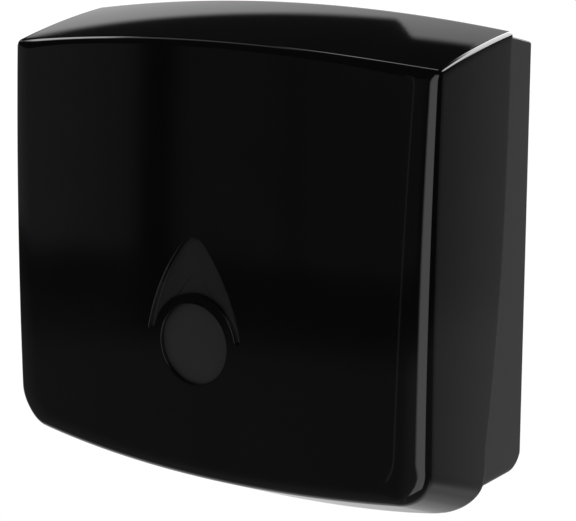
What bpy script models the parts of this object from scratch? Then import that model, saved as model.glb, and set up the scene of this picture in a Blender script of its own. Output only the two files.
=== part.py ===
"""Wall-hung dispenser for folded napkins and hand towels.

A gloss front cover swings forward and down on two pins near its lower edge. Behind it sit
a back housing, a napkin tray with a dispensing throat, two stack guides and a cam lock.
Sizes are in millimetres; MM turns them into metres when a mesh is stored. The wall is the
plane y = 0, the front faces -Y and +X is the viewer's right. Heights below are measured from
the lowest point; DATUM_Z, the middle of the back face, becomes z = 0 when a mesh is stored.
"""
import math

import bmesh
import bpy
from mathutils import Matrix, Vector

MM = 0.001
GAP = 0.3                  # clearance between neighbouring pieces
DATUM_Z = 158.0            # height of the stored origin, on the back face

# Driving dimensions of the whole dispenser
HALF_W = 151.5             # half of the overall width
SIDE_DEPTH = 108.5         # wall to front face at the sides, top of the face
LEAN = 6.5                 # how much further forward the face stands at its foot
BELLY = 2.5                # outward swell of the face between top and foot
BOW = 11.9                 # forward bow of the face at the middle of its width
BOW_LOSS = 1.1             # how much of the bow is lost toward the foot
LIP_Z = 22.1               # front lower lip, middle of the width
LIP_RISE = 8.8             # how much the lip rises toward the corners
CREASE_Z = 268.2           # front upper crease at the sides
BACK_Z = 284.2             # rear edge of the cover's top at the sides
CROWN = 10.2               # upward crown of the top across the width
TOP_SWELL = 1.6            # swell of the top between crease and rear edge
UNDER_SLOPE = 0.42         # fall of the underside toward the back
SIDE_EASE = 0.05           # how much less it falls at the side walls
FOOT_R = 22.3              # lower corners of the cover, seen from the front
FOOT_X = 129.3             # centre of the foot's arc, across
FOOT_Z = 50.9              # and up
TOP_R = 3.0                # upper corners of the cover
COVER_WALL = 2.6           # wall thickness of the cover
TOP_BACK_Y = -27.4         # seam between cover and housing, at the top
ROLL_END = math.radians(26.0)  # slope at which the face's broad roll meets its tight corner
TRIM = 1.0                 # the cover's skin runs this far past the seam before it is trimmed

# Cover hinge
PIVOT_Y = -72.0
PIVOT_Z = 35.8
PIVOT_R = 25.2             # the cover's rear lower edge is an arc about the pivot
SWING_R = 38.0             # the housing's floor keeps clear of the cover inside this radius
PIN_R = 3.0
PIN_IN = 128.5             # inner end of a pin, from the middle
PIN_OUT = 146.0
BRACKET_IN = 131.0         # the tray's cheek that holds a pin
BRACKET_OUT = 136.5

# Back housing
SHELL_INSET = 2.5          # the housing stands this far inside the cover's outline
SHELL_WALL = 2.7
BACK_FALL = 0.197          # the housing's top falls toward the wall at this slope
REAR_R = 3.0               # and ends in a rounded rear edge
CORNER_R = 4.0             # lower corners of the housing, seen from the front
PANEL = 3.0                # back panel
FLOOR_Z = 21.0             # underside of the housing
HEEL_R = 12.0              # rounded lower rear edge
BOSS_H = 6.0               # screw bosses on the panel

# Stack space
GUIDE_X = 124.0            # inner faces of the two guides
GUIDE_WALL = 2.2
STACK_FRONT = -98.0        # inner face of the guides' front lips
TRAY_Z = 49.0              # underside of the tray floor
TRAY_T = 2.5
THROAT_Y = -60.0
THROAT_L = 150.0
THROAT_W = 32.0

# Window and roundel in the front
DISC_Z = 102.5
DISC_R = 24.0
ARCH_R = 30.3              # window's lower edge, an arc about the disc's centre
TIP_Z = 109.0
TIP_X = 33.4
PEAK_Z = 165.5
PEAK_R = 10.4

# Lock
LOCK_Y = -13.0
LOCK_TOP = 286.6           # flat seat sunk in the housing's top
LOCK_R = 8.0


# ---------------------------------------------------------------- helpers

def clear_scene():
    """Remove every object that the scene starts with."""
    for item in list(bpy.data.objects):
        bpy.data.objects.remove(item, do_unlink=True)


def material(name, colour, roughness, metallic=0.0, alpha=1.0):
    """Return a Principled material."""
    mat = bpy.data.materials.get(name)
    if mat:
        return mat
    mat = bpy.data.materials.new(name)
    mat.use_nodes = True
    shader = mat.node_tree.nodes["Principled BSDF"]
    shader.inputs["Base Color"].default_value = (*colour, 1.0)
    shader.inputs["Roughness"].default_value = roughness
    shader.inputs["Metallic"].default_value = metallic
    shader.inputs["Alpha"].default_value = alpha
    mat.diffuse_color = (*colour, alpha)
    return mat


def store(name, bm, mat=None):
    """Turn a bmesh in millimetres into an object in metres, with z = 0 at the datum."""
    bmesh.ops.recalc_face_normals(bm, faces=bm.faces)
    shift = Matrix.Scale(MM, 4) @ Matrix.Translation((0.0, 0.0, -DATUM_Z))
    bmesh.ops.transform(bm, matrix=shift, verts=bm.verts)
    mesh = bpy.data.meshes.new(name)
    bm.to_mesh(mesh)
    bm.free()
    obj = bpy.data.objects.new(name, mesh)
    bpy.context.scene.collection.objects.link(obj)
    if mat:
        mesh.materials.append(mat)
    return obj


def prism(outline, axis, low, high):
    """Return a bmesh of a closed outline extruded along X, Y or Z from low to high."""
    bm = bmesh.new()
    places = {
        "X": lambda a, b, c: (c, a, b),
        "Y": lambda a, b, c: (a, c, b),
        "Z": lambda a, b, c: (a, b, c),
    }
    place = places[axis]
    face = bm.faces.new([bm.verts.new(place(a, b, low)) for a, b in outline])
    swept = bmesh.ops.extrude_face_region(bm, geom=[face])
    moved = [v for v in swept["geom"] if isinstance(v, bmesh.types.BMVert)]
    bmesh.ops.translate(bm, verts=moved, vec=place(0.0, 0.0, high - low))
    return bm


def box(low, high):
    """Return a bmesh box between two corners."""
    bm = bmesh.new()
    bmesh.ops.create_cube(bm, size=1.0)
    size = Vector(high) - Vector(low)
    middle = (Vector(high) + Vector(low)) / 2.0
    for v in bm.verts:
        v.co = Vector((v.co.x * size.x, v.co.y * size.y, v.co.z * size.z)) + middle
    return bm


def circle(cx, cy, radius, count=32):
    """Return the points of a circle."""
    turn = 2.0 * math.pi / count
    return [(cx + radius * math.cos(k * turn), cy + radius * math.sin(k * turn))
            for k in range(count)]


def slot(cx, cy, half_length, radius, count=12):
    """Return a slot outline that is long along the first axis."""
    points = []
    for side in (1.0, -1.0):
        start = -math.pi / 2.0 if side > 0 else math.pi / 2.0
        for k in range(count + 1):
            a = start + math.pi * k / count
            points.append((cx + side * half_length + radius * math.cos(a),
                           cy + radius * math.sin(a)))
    return points


def turned(profile, axis, centre, count=32):
    """Return a solid of revolution; profile is (radius, height) pairs, top to bottom."""
    bm = bmesh.new()
    rings = []
    for radius, height in profile:
        ring = []
        for k in range(count):
            a = 2.0 * math.pi * k / count
            c, s = radius * math.cos(a), radius * math.sin(a)
            spot = {"X": (height, c, s), "Y": (c, height, s), "Z": (c, s, height)}[axis]
            ring.append(bm.verts.new(Vector(spot) + Vector(centre)))
        rings.append(ring)
    for upper, lower in zip(rings, rings[1:]):
        for k in range(count):
            n = (k + 1) % count
            bm.faces.new((upper[k], upper[n], lower[n], lower[k]))
    bm.faces.new(rings[0])
    bm.faces.new(rings[-1])
    return bm


def combine(obj, bm, operation):
    """Join a bmesh (in millimetres) to an object, or cut it away, with an exact Boolean."""
    cutter = store("cutter", bm)
    modifier = obj.modifiers.new("cut", "BOOLEAN")
    modifier.operation = operation
    modifier.solver = "EXACT"
    modifier.object = cutter
    bpy.context.view_layer.update()
    graph = bpy.context.evaluated_depsgraph_get()
    mesh = bpy.data.meshes.new_from_object(obj.evaluated_get(graph))
    obj.modifiers.remove(modifier)
    old = obj.data
    obj.data = mesh
    bpy.data.meshes.remove(old)
    bpy.data.objects.remove(cutter, do_unlink=True)
    mesh.name = obj.name
    return obj


def cut(obj, bm):
    """Cut a bmesh away from an object."""
    return combine(obj, bm, "DIFFERENCE")


def join(obj, bm):
    """Fuse a bmesh to an object."""
    return combine(obj, bm, "UNION")


def smooth(obj, angle=35.0):
    """Shade round faces smooth and keep edges over the angle sharp."""
    for face in obj.data.polygons:
        face.use_smooth = True
    obj.data.set_sharp_from_angle(angle=math.radians(angle))
    return obj


def screw(name, centre, axis, toward, mat, head_r=2.9, shank=6.0, shank_r=1.35):
    """A pan-head screw; toward is +1 or -1, the way its point runs along the axis."""
    head_h = 2.1
    profile = [
        (head_r * 0.62, -head_h),
        (head_r * 0.92, -head_h * 0.66),
        (head_r, -head_h * 0.2),
        (head_r, 0.0),
        (shank_r, 0.0),
        (shank_r, shank - 1.2),
        (shank_r * 0.35, shank),
    ]
    profile = [(r, h * toward) for r, h in profile]
    obj = store(name, turned(profile, axis, centre, 16), mat)
    depth = 1.2
    for wide, tall in ((2.6, 0.55), (0.55, 2.6)):
        low = [-wide, -wide, -wide]
        high = [wide, wide, wide]
        spot = "XYZ".index(axis)
        across = [k for k in range(3) if k != spot]
        low[across[0]], high[across[0]] = -wide / 2.0, wide / 2.0
        low[across[1]], high[across[1]] = -tall / 2.0, tall / 2.0
        ends = sorted((-toward * (head_h + 1.0), -toward * (head_h - depth)))
        low[spot], high[spot] = ends
        cut(obj, box(Vector(low) + Vector(centre), Vector(high) + Vector(centre)))
    return smooth(obj)


# ---------------------------------------------------------------- outer form

def face_y(x, z):
    """Depth of the front face: side depth + lean + swell + bow."""
    t = (CREASE_Z - z) / (CREASE_Z - LIP_Z)
    q = x / HALF_W
    bow = BOW - BOW_LOSS * t
    return -(SIDE_DEPTH + LEAN * t + BELLY * 4.0 * t * (1.0 - t) + bow * (1.0 - q * q))


def seam_y(z):
    """Seam between cover and housing in side view; below the pivot it is an arc about it."""
    if z < PIVOT_Z:
        return PIVOT_Y + math.sqrt(max(PIVOT_R ** 2 - (PIVOT_Z - z) ** 2, 0.0))
    t = 1.0 - z / (BACK_Z + CROWN)
    return max(-(27.4 + 4.5 * t + 25.5 * t ** 3), PIVOT_Y + PIVOT_R)


def front_outline():
    """Outline of the cover seen from the front: (x, z, top share, foot share) anticlockwise."""
    def lip(x):
        return LIP_Z + LIP_RISE * (x / HALF_W) ** 2

    def crest(x):
        return CREASE_Z + CROWN * (1.0 - (x / HALF_W) ** 2)

    run = HALF_W - 20.0
    lean = math.atan(2.0 * LIP_RISE * run / HALF_W ** 2)
    foot_x = run - FOOT_R * math.sin(lean)
    foot_z = lip(run) + FOOT_R * math.cos(lean)
    top_x = HALF_W - TOP_R
    top_z = crest(top_x) - TOP_R
    right = []
    steps = 10
    for k in range(steps):
        x = run * k / steps
        right.append((x, lip(x)))
    for k in range(9):
        a = -math.pi / 2.0 + lean + (math.pi / 2.0 - lean) * k / 8
        right.append((foot_x + (HALF_W - foot_x) * math.cos(a), foot_z + FOOT_R * math.sin(a)))
    for k in range(1, 10):
        right.append((HALF_W, foot_z + (top_z - foot_z) * k / 9))
    for k in range(1, 4):
        a = math.pi / 2.0 * k / 3
        right.append((top_x + TOP_R * math.cos(a), top_z + TOP_R * math.sin(a)))
    for k in range(1, 11):
        x = top_x * (1.0 - k / 10.0)
        right.append((x, crest(x)))
    left = [(-x, z) for x, z in reversed(right[1:-1])]
    points = []
    for x, z in right + left:
        share = min(max((z - foot_z) / (top_z - foot_z), 0.0), 1.0)
        points.append((x, z, share, 1.0 - share))
    return points


def band_point(x, z, top, foot, v):
    """Point on the cover's sides, top or underside, v of the way from front edge to seam."""
    front = face_y(x, z)
    y_end = TOP_BACK_Y + TRIM if top >= 1.0 else -50.0
    height = z
    slope = UNDER_SLOPE - SIDE_EASE * min(abs(x) / HALF_W, 1.0) ** 8
    for _ in range(24):
        rise = (BACK_Z - CREASE_Z) * v + TOP_SWELL * 4.0 * v * (1.0 - v)
        y = front + (y_end - front) * v
        height = z + top * rise - foot * slope * (y - front)
        full = z + top * (BACK_Z - CREASE_Z) - foot * slope * (y_end - front)
        if top < 1.0:
            y_end = 0.5 * (y_end + seam_y(full) + TRIM)
    return Vector((x, front + (y_end - front) * v, height))


def cover_skin():
    """Open outer skin of the cover: nested rings over the face, a rolled edge, then a band."""
    bm = bmesh.new()
    outline = front_outline()
    mid_z = (LIP_Z + CREASE_Z + CROWN) / 2.0
    rings = []

    def face_ring(ease, turn, shrink=1.0):
        """Ring on the face: ease runs 0 to 1 over the broad roll, turn over the corner."""
        ring = []
        for x, z, top, foot in outline:
            side = min(abs(x) / HALF_W, 1.0) ** 8
            across = min(max((abs(x) - FOOT_X) / FOOT_R, 0.0), 1.0)
            below = min(max((FOOT_Z - z) / FOOT_R, 0.0), 1.0)
            corner = 3.5 + 2.1 * foot + 1.4 * (2.0 * across * below) ** 2
            deep = side * (2.0 + foot) + (1.0 - side) * (0.5 + 1.5 * foot)
            wide_x = 14.0 + 7.0 * foot
            wide_z = 4.0 + 5.0 * foot
            a = ROLL_END + (math.pi / 2.0 - ROLL_END) * turn
            short = corner * (1.0 - math.sin(a))
            keep = corner * (1.0 - math.sin(ROLL_END))
            in_x = short if turn else wide_x - (wide_x - keep) * ease
            in_z = short if turn else wide_z - (wide_z - keep) * ease
            push = deep * ease ** 2 + corner * (math.cos(ROLL_END) - math.cos(a))
            px = x * (1.0 - in_x / HALF_W) * shrink
            pz = mid_z + (z - mid_z) * (1.0 - in_z / 123.0) * shrink
            ring.append(bm.verts.new((px, face_y(px, pz) + push, pz)))
        return ring

    for shrink in (0.04, 0.12, 0.2, 0.28, 0.36, 0.46, 0.6, 0.74, 0.88):
        rings.append(face_ring(0.0, 0.0, shrink))
    for ease in (0.0, 0.5, 1.0):
        rings.append(face_ring(ease, 0.0))
    for turn in (0.4, 0.75):
        rings.append(face_ring(1.0, turn))
    for v in (0.14, 0.25, 0.4, 0.6, 0.8, 1.0):
        ring = []
        for x, z, top, foot in outline:
            ring.append(bm.verts.new(band_point(x, z, top, foot, v)))
        rings.append(ring)
    count = len(outline)
    bm.faces.new(rings[0])
    for inner, outer in zip(rings, rings[1:]):
        for k in range(count):
            n = (k + 1) % count
            bm.faces.new((inner[k], inner[n], outer[n], outer[k]))
    return bm


def window_outline(grow=0.0):
    """Arrow-headed window: long side arcs to a rounded peak, over an arc about the roundel."""
    tip_r = 1.6 + grow
    lower = ARCH_R - grow
    right = []
    end_z = PEAK_Z - PEAK_R * (1.0 - math.cos(math.radians(50.0)))
    end_x = PEAK_R * math.sin(math.radians(50.0))
    chord = math.hypot(TIP_X - end_x, end_z - TIP_Z)
    middle = math.atan2(end_z - TIP_Z, end_x - TIP_X)
    half = math.radians(13.5)
    arc_r = chord / (2.0 * math.sin(half))
    heading = middle - half
    cx = TIP_X - arc_r * math.sin(heading)
    cz = TIP_Z + arc_r * math.cos(heading)
    for k in range(9):
        a = heading - math.pi / 2.0 + 2.0 * half * k / 8
        right.append((cx + (arc_r + grow) * math.cos(a), cz + (arc_r + grow) * math.sin(a)))
    peak_start = heading - math.pi / 2.0 + 2.0 * half
    for k in range(1, 5):
        a = peak_start + (math.pi / 2.0 - peak_start) * k / 4
        right.append(((PEAK_R + grow) * math.cos(a),
                      PEAK_Z - PEAK_R + (PEAK_R + grow) * math.sin(a)))
    tip_angle = math.asin((TIP_Z - DISC_Z) / ARCH_R)
    arc = []
    for k in range(13):
        a = tip_angle + (math.pi - 2.0 * tip_angle) * k / 12
        arc.append((lower * math.cos(a), DISC_Z + lower * math.sin(a)))
    first = right[0]
    inner = arc[0]
    tip = ((first[0] + inner[0]) / 2.0, TIP_Z - tip_r)
    left = [(-x, z) for x, z in reversed(right[:-1])]
    return [tip] + right + left + [(-tip[0], tip[1])] + list(reversed(arc))


# ---------------------------------------------------------------- pieces on the cover

def swing_sector():
    """Ring sector about the pivot, under the housing's floor, that the cover keeps out of."""
    points = []
    for radius, turns in ((PIVOT_R, range(0, 13)), (PIVOT_R + 4.0, range(12, -1, -1))):
        for k in turns:
            a = math.radians(-31.0 - 55.0 * k / 12)
            points.append((PIVOT_Y + radius * math.cos(a), PIVOT_Z + radius * math.sin(a)))
    return points


def front_cover():
    """One injection moulding: face, top, sides and sloping underside, hinge ears inside."""
    gloss = material("gloss_black_abs", (0.012, 0.012, 0.013), 0.12)
    obj = store("front_cover", cover_skin(), gloss)
    wall = obj.modifiers.new("wall", "SOLIDIFY")
    wall.thickness = COVER_WALL * MM
    wall.offset = -1.0
    wall.use_even_offset = True
    bpy.context.view_layer.update()
    graph = bpy.context.evaluated_depsgraph_get()
    mesh = bpy.data.meshes.new_from_object(obj.evaluated_get(graph))
    obj.modifiers.remove(wall)
    obj.data = mesh
    cut(obj, prism(side_profile(0.0), "X", -160.0, 160.0))
    cut(obj, prism(swing_sector(), "X", -160.0, 160.0))
    cut(obj, prism(window_outline(), "Y", -140.0, -100.0))
    cut(obj, prism(circle(0.0, DISC_Z, DISC_R, 40), "Y", -140.0, -100.0))
    for side in (-1.0, 1.0):
        ends = sorted((side * 139.0, side * 149.4))
        profile = [(8.0, ends[1]), (8.0, ends[0])]
        join(obj, turned(profile, "X", (0.0, PIVOT_Y, PIVOT_Z), 24))
        bore = [(PIN_R + 0.08, side * 146.6), (PIN_R + 0.08, side * 138.0)]
        cut(obj, turned(bore, "X", (0.0, PIVOT_Y, PIVOT_Z), 24))
        join(obj, turned([(3.6, 291.2), (3.6, 285.3)], "Z", (side * 9.0, -41.0, 0.0), 16))
        cut(obj, turned([(1.65, 290.0), (1.65, 280.0)], "Z", (side * 9.0, -41.0, 0.0), 16))
        for z in (82.0, 152.0):
            x = side * 43.0
            back = face_y(x, z) + COVER_WALL
            join(obj, turned([(3.6, back + 5.0), (3.6, back - 1.0)], "Y", (x, 0.0, z), 16))
            cut(obj, turned([(1.65, back + 9.0), (1.65, back - 0.9)], "Y", (x, 0.0, z), 16))
    return smooth(obj)


def face_plate(name, outline, front, back, mat, rows=None):
    """A plate behind the face between two offsets from it, with the face's own curve."""
    columns = rows or 12
    bm = prism(outline, "Y", -150.0, -90.0)
    obj = store(name, bm, mat)
    xs = [p[0] for p in outline]
    zs = [p[1] for p in outline]
    low_x, high_x = min(xs) - 2.0, max(xs) + 2.0
    low_z, high_z = min(zs) - 2.0, max(zs) + 2.0
    block = bmesh.new()
    sheets = []
    for offset in (front, back):
        sheet = []
        for i in range(columns + 1):
            x = low_x + (high_x - low_x) * i / columns
            column = []
            for k in range(7):
                z = low_z + (high_z - low_z) * k / 6
                column.append(block.verts.new((x, face_y(x, z) + offset, z)))
            sheet.append(column)
        sheets.append(sheet)
    for sheet in sheets:
        for i in range(columns):
            for k in range(6):
                block.faces.new((sheet[i][k], sheet[i + 1][k],
                                 sheet[i + 1][k + 1], sheet[i][k + 1]))
    a, b = sheets
    for i in range(columns):
        for k in (0, 6):
            block.faces.new((a[i][k], a[i + 1][k], b[i + 1][k], b[i][k]))
    for k in range(6):
        for i in (0, columns):
            block.faces.new((a[i][k], a[i][k + 1], b[i][k + 1], b[i][k]))
    return combine(obj, block, "INTERSECT")


def window_lens():
    """Smoked fill-level window, seated on the inside of the cover's wall."""
    smoke = material("smoked_polycarbonate", (0.03, 0.03, 0.032), 0.15, alpha=0.9)
    lens = face_plate("window_lens", window_outline(2.6), COVER_WALL + GAP,
                      COVER_WALL + GAP + 2.0, smoke)
    return smooth(lens, 20.0)


def roundel_disc():
    """Plain round insert behind the circular opening."""
    smoke = material("dark_grey_abs", (0.035, 0.035, 0.036), 0.25)
    disc = face_plate("roundel_disc", circle(0.0, DISC_Z, DISC_R + 2.6, 40), COVER_WALL + GAP,
                      COVER_WALL + GAP + 2.0, smoke)
    return smooth(disc, 20.0)


def lens_retainer():
    """Moulded frame that clamps the window and the roundel from behind."""
    matte = material("matte_black_abs", (0.02, 0.02, 0.02), 0.5)
    front = COVER_WALL + GAP + 2.0 + GAP
    outline = [(-48.0, 74.0), (48.0, 74.0), (48.0, 160.0), (14.0, 174.0), (-14.0, 174.0),
               (-48.0, 160.0)]
    frame = face_plate("lens_retainer", outline, front, front + 2.0, matte, 14)
    cut(frame, prism(window_outline(0.0), "Y", -150.0, -90.0))
    cut(frame, prism(circle(0.0, DISC_Z, DISC_R - 4.0, 32), "Y", -150.0, -90.0))
    for side in (-1.0, 1.0):
        for z in (82.0, 152.0):
            cut(frame, prism(circle(side * 43.0, z, 3.9, 20), "Y", -150.0, -90.0))
    return smooth(frame, 20.0)


def retainer_screws():
    """Four screws with wide heads that hold the frame on the cover's bosses."""
    steel = material("zinc_plated_steel", (0.62, 0.62, 0.6), 0.35, 1.0)
    made = []
    for side, word in ((-1.0, "left"), (1.0, "right")):
        for z, level in ((82.0, "lower"), (152.0, "upper")):
            x = side * 43.0
            seat = face_y(x, z) + COVER_WALL + 5.0 + GAP
            name = "retainer_screw_" + level + "_" + word
            made.append(screw(name, (x, seat, z), "Y", -1.0, steel, 4.8, 4.6))
    return made


def strike_plate():
    """Bent steel plate under the cover's top; its hanging leg is what the cam hooks."""
    steel = material("zinc_plated_steel", (0.62, 0.62, 0.6), 0.35, 1.0)
    plate = store("strike_plate", box((-14.0, -47.0, 283.0), (14.0, -26.6, 285.0)), steel)
    join(plate, box((-9.0, -28.6, 268.7), (9.0, -26.6, 284.0)))
    for side in (-1.0, 1.0):
        cut(plate, turned([(1.7, 290.0), (1.7, 280.0)], "Z", (side * 9.0, -41.0, 0.0), 16))
    return plate


def strike_screws():
    """Two screws that hold the strike plate."""
    steel = material("zinc_plated_steel", (0.62, 0.62, 0.6), 0.35, 1.0)
    made = []
    for side, word in ((-1.0, "left"), (1.0, "right")):
        made.append(screw("strike_screw_" + word, (side * 9.0, -41.0, 283.0 - GAP), "Z", 1.0,
                          steel, 2.9, 5.2))
    return made


# ---------------------------------------------------------------- housing and its contents

def shell_outline(inset):
    """Housing outline seen from the front, inset from the cover's outline."""
    half = HALF_W - inset
    foot = FLOOR_Z + inset - SHELL_INSET
    radius = CORNER_R - (inset - SHELL_INSET)
    points = []
    for k in range(7):
        a = -math.pi / 2.0 + math.pi / 2.0 * k / 6
        points.append((half - radius + radius * math.cos(a), foot + radius + radius * math.sin(a)))
    for k in range(21):
        x = half * (1.0 - k / 10.0)
        points.append((x, BACK_Z + CROWN * (1.0 - (x / HALF_W) ** 2) - inset))
    for k in range(7):
        a = math.pi + math.pi / 2.0 * k / 6
        points.append((-half + radius + radius * math.cos(a), foot + radius + radius * math.sin(a)))
    return points


def shell_top(x, y, inset):
    """Height of the housing's crowned top, which falls toward the wall."""
    crest = BACK_Z + CROWN * (1.0 - (x / HALF_W) ** 2) - inset
    return crest - BACK_FALL * (y - TOP_BACK_Y)


def shell_block(inset, stations):
    """Solid under the outline, carried through (depth, drop) stations along Y."""
    bm = bmesh.new()
    rings = []
    for y, drop in stations:
        ring = []
        for x, z in shell_outline(inset):
            height = shell_top(x, y, inset) - drop if z > 200.0 else z
            ring.append(bm.verts.new((x, y, height)))
        rings.append(ring)
    count = len(rings[0])
    for near, far in zip(rings, rings[1:]):
        for k in range(count):
            n = (k + 1) % count
            bm.faces.new((near[k], near[n], far[n], far[k]))
    bm.faces.new(rings[0])
    bm.faces.new(rings[-1])
    return bm


def lock_boss():
    """Thickening under the housing's top for the lock's seat; it stays inside the wall."""
    bm = prism(circle(0.0, LOCK_Y, 11.5), "Z", LOCK_TOP - SHELL_WALL, 300.0)
    for v in bm.verts:
        if v.co.z > 295.0:
            v.co.z = shell_top(v.co.x, v.co.y, SHELL_INSET) - 1.0
    return bm


def side_profile(gap):
    """Housing in side view, its front edge a gap behind the seam; rounded heel behind."""
    points = []
    for k in range(17):
        z = 300.0 + (PIVOT_Z - 300.0) * k / 16
        points.append((seam_y(min(z, BACK_Z + CROWN)) + gap, z))
    reach = math.asin((PIVOT_Z - FLOOR_Z) / (PIVOT_R + gap))
    for k in range(1, 9):
        a = -reach * k / 8
        points.append((PIVOT_Y + (PIVOT_R + gap) * math.cos(a),
                       PIVOT_Z + (PIVOT_R + gap) * math.sin(a)))
    for k in range(6):
        a = -math.pi / 2.0 + math.pi / 2.0 * k / 5
        points.append((-HEEL_R + HEEL_R * math.cos(a), FLOOR_Z + HEEL_R + HEEL_R * math.sin(a)))
    points.append((0.0, 300.0))
    return points


SCREW_SPOTS = [(-134.0, 90.0), (-134.0, 225.0), (134.0, 90.0), (134.0, 225.0)]
TRAY_SPOTS = [(-70.0, 62.0), (70.0, 62.0)]


def cavity():
    """The housing's hollow as a bmesh in millimetres: its own heel follows the outer one a
    wall's thickness inside, so the floor runs unbroken into the back panel."""
    hollow = store("hollow", shell_block(SHELL_INSET + SHELL_WALL,
                                         [(-80.0, 0.0), (-PANEL, 0.0)]))
    radius = HEEL_R - SHELL_WALL
    side = [(-90.0, 10.0), (-HEEL_R + 1.1, 10.0)]
    for k in range(7):
        a = math.radians(-80.0 + 65.0 * k / 6)
        side.append((-HEEL_R + radius * math.cos(a), FLOOR_Z + HEEL_R + radius * math.sin(a)))
    side += [(-PANEL + 1.0, FLOOR_Z + HEEL_R), (-PANEL + 1.0, 310.0), (-90.0, 310.0)]
    combine(hollow, prism(side, "X", -160.0, 160.0), "INTERSECT")
    bm = bmesh.new()
    bm.from_mesh(hollow.data)
    back = Matrix.Translation((0.0, 0.0, DATUM_Z)) @ Matrix.Scale(1.0 / MM, 4)
    bmesh.ops.transform(bm, matrix=back, verts=bm.verts)
    bpy.data.objects.remove(hollow, do_unlink=True)
    return bm


def back_housing():
    """Moulded back shell: panel, rim, screw bosses, stack ribs and keyholes for the wall."""
    satin = material("satin_black_abs", (0.03, 0.03, 0.031), 0.32)
    rear = [(-REAR_R, 0.0), (-1.5, 0.4), (-0.5, 1.34), (0.0, REAR_R)]
    obj = store("back_housing", shell_block(SHELL_INSET, [(-70.0, 0.0)] + rear), satin)
    combine(obj, prism(side_profile(GAP), "X", -160.0, 160.0), "INTERSECT")
    cut(obj, cavity())
    sweep = [(SWING_R, 144.5), (SWING_R, -144.5)]
    cut(obj, turned(sweep, "X", (0.0, PIVOT_Y, PIVOT_Z), 48))
    for x, z in SCREW_SPOTS + TRAY_SPOTS:
        join(obj, turned([(4.5, -PANEL + 0.5), (4.5, -PANEL - BOSS_H)], "Y", (x, 0.0, z), 20))
        cut(obj, turned([(1.65, -4.0), (1.65, -PANEL - BOSS_H - 1.0)], "Y", (x, 0.0, z), 16))
    for x in (-96.0, -32.0, 32.0, 96.0):
        join(obj, box((x - 1.25, -PANEL - BOSS_H, 80.0), (x + 1.25, -PANEL + 0.5, 262.0)))
    for side in (-1.0, 1.0):
        keyhole = circle(side * 80.0, 236.0, 4.75, 24)
        cut(obj, prism(keyhole, "Y", -PANEL - 1.0, 1.0))
        cut(obj, box((side * 80.0 - 2.4, -PANEL - 1.0, 236.0), (side * 80.0 + 2.4, 1.0, 247.0)))
        cut(obj, prism(slot(side * 80.0, 120.0, 5.0, 2.4), "Y", -PANEL - 1.0, 1.0))
    origin = (0.0, LOCK_Y, 0.0)
    join(obj, lock_boss())
    cut(obj, turned([(10.6, 300.0), (10.6, LOCK_TOP)], "Z", origin, 32))
    cut(obj, turned([(LOCK_R + GAP, 300.0), (LOCK_R + GAP, 280.0)], "Z", origin, 32))
    return smooth(obj)


def napkin_tray():
    """Tray that carries the stack: floor with the throat, front lip, cheeks with the pins."""
    satin = material("satin_grey_abs", (0.09, 0.09, 0.095), 0.4)
    top = TRAY_Z + TRAY_T
    obj = store("napkin_tray", box((-136.5, -104.0, TRAY_Z), (136.5, -3.6, top)), satin)
    join(obj, box((-118.0, -104.0, TRAY_Z + 1.0), (118.0, -101.5, top + 8.0)))
    join(obj, box((-90.0, -PANEL - BOSS_H - GAP - 2.2, TRAY_Z + 1.0),
                  (90.0, -PANEL - BOSS_H - GAP, 70.0)))
    for side in (-1.0, 1.0):
        ends = sorted((side * BRACKET_IN, side * BRACKET_OUT))
        cheek = [(PIVOT_Y + 9.0, PIVOT_Z), (-30.0, TRAY_Z + 1.0), (-100.0, TRAY_Z + 1.0),
                 (PIVOT_Y - 9.0, PIVOT_Z)]
        for k in range(1, 12):
            a = math.pi + math.pi * k / 12
            cheek.append((PIVOT_Y + 9.0 * math.cos(a), PIVOT_Z + 9.0 * math.sin(a)))
        join(obj, prism(cheek, "X", ends[0], ends[1]))
        bore = [(PIN_R + 0.08, side * 140.0), (PIN_R + 0.08, side * 120.0)]
        cut(obj, turned(bore, "X", (0.0, PIVOT_Y, PIVOT_Z), 24))
    half = (THROAT_L - THROAT_W) / 2.0
    cut(obj, prism(slot(0.0, THROAT_Y, half, THROAT_W / 2.0), "Z", TRAY_Z - 2.0, top + 2.0))
    for x, z in TRAY_SPOTS:
        cut(obj, turned([(1.65, 0.0), (1.65, -20.0)], "Y", (x, 0.0, z), 16))
    return smooth(obj)


def throat_insert():
    """Smooth oval collar in the tray's slot that a napkin is pulled through."""
    pale = material("white_acetal", (0.75, 0.75, 0.73), 0.35)
    top = TRAY_Z + TRAY_T
    half = (THROAT_L - THROAT_W) / 2.0
    outer = THROAT_W / 2.0 - GAP
    obj = store("throat_insert",
                prism(slot(0.0, THROAT_Y, half, outer), "Z", TRAY_Z - 9.0, top + 2.0), pale)
    flange = slot(0.0, THROAT_Y, half, outer + 5.0)
    join(obj, prism(flange, "Z", top + GAP, top + 2.0))
    cut(obj, prism(slot(0.0, THROAT_Y, half, outer - 2.2), "Z", TRAY_Z - 12.0, top + 4.0))
    return smooth(obj)


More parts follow.
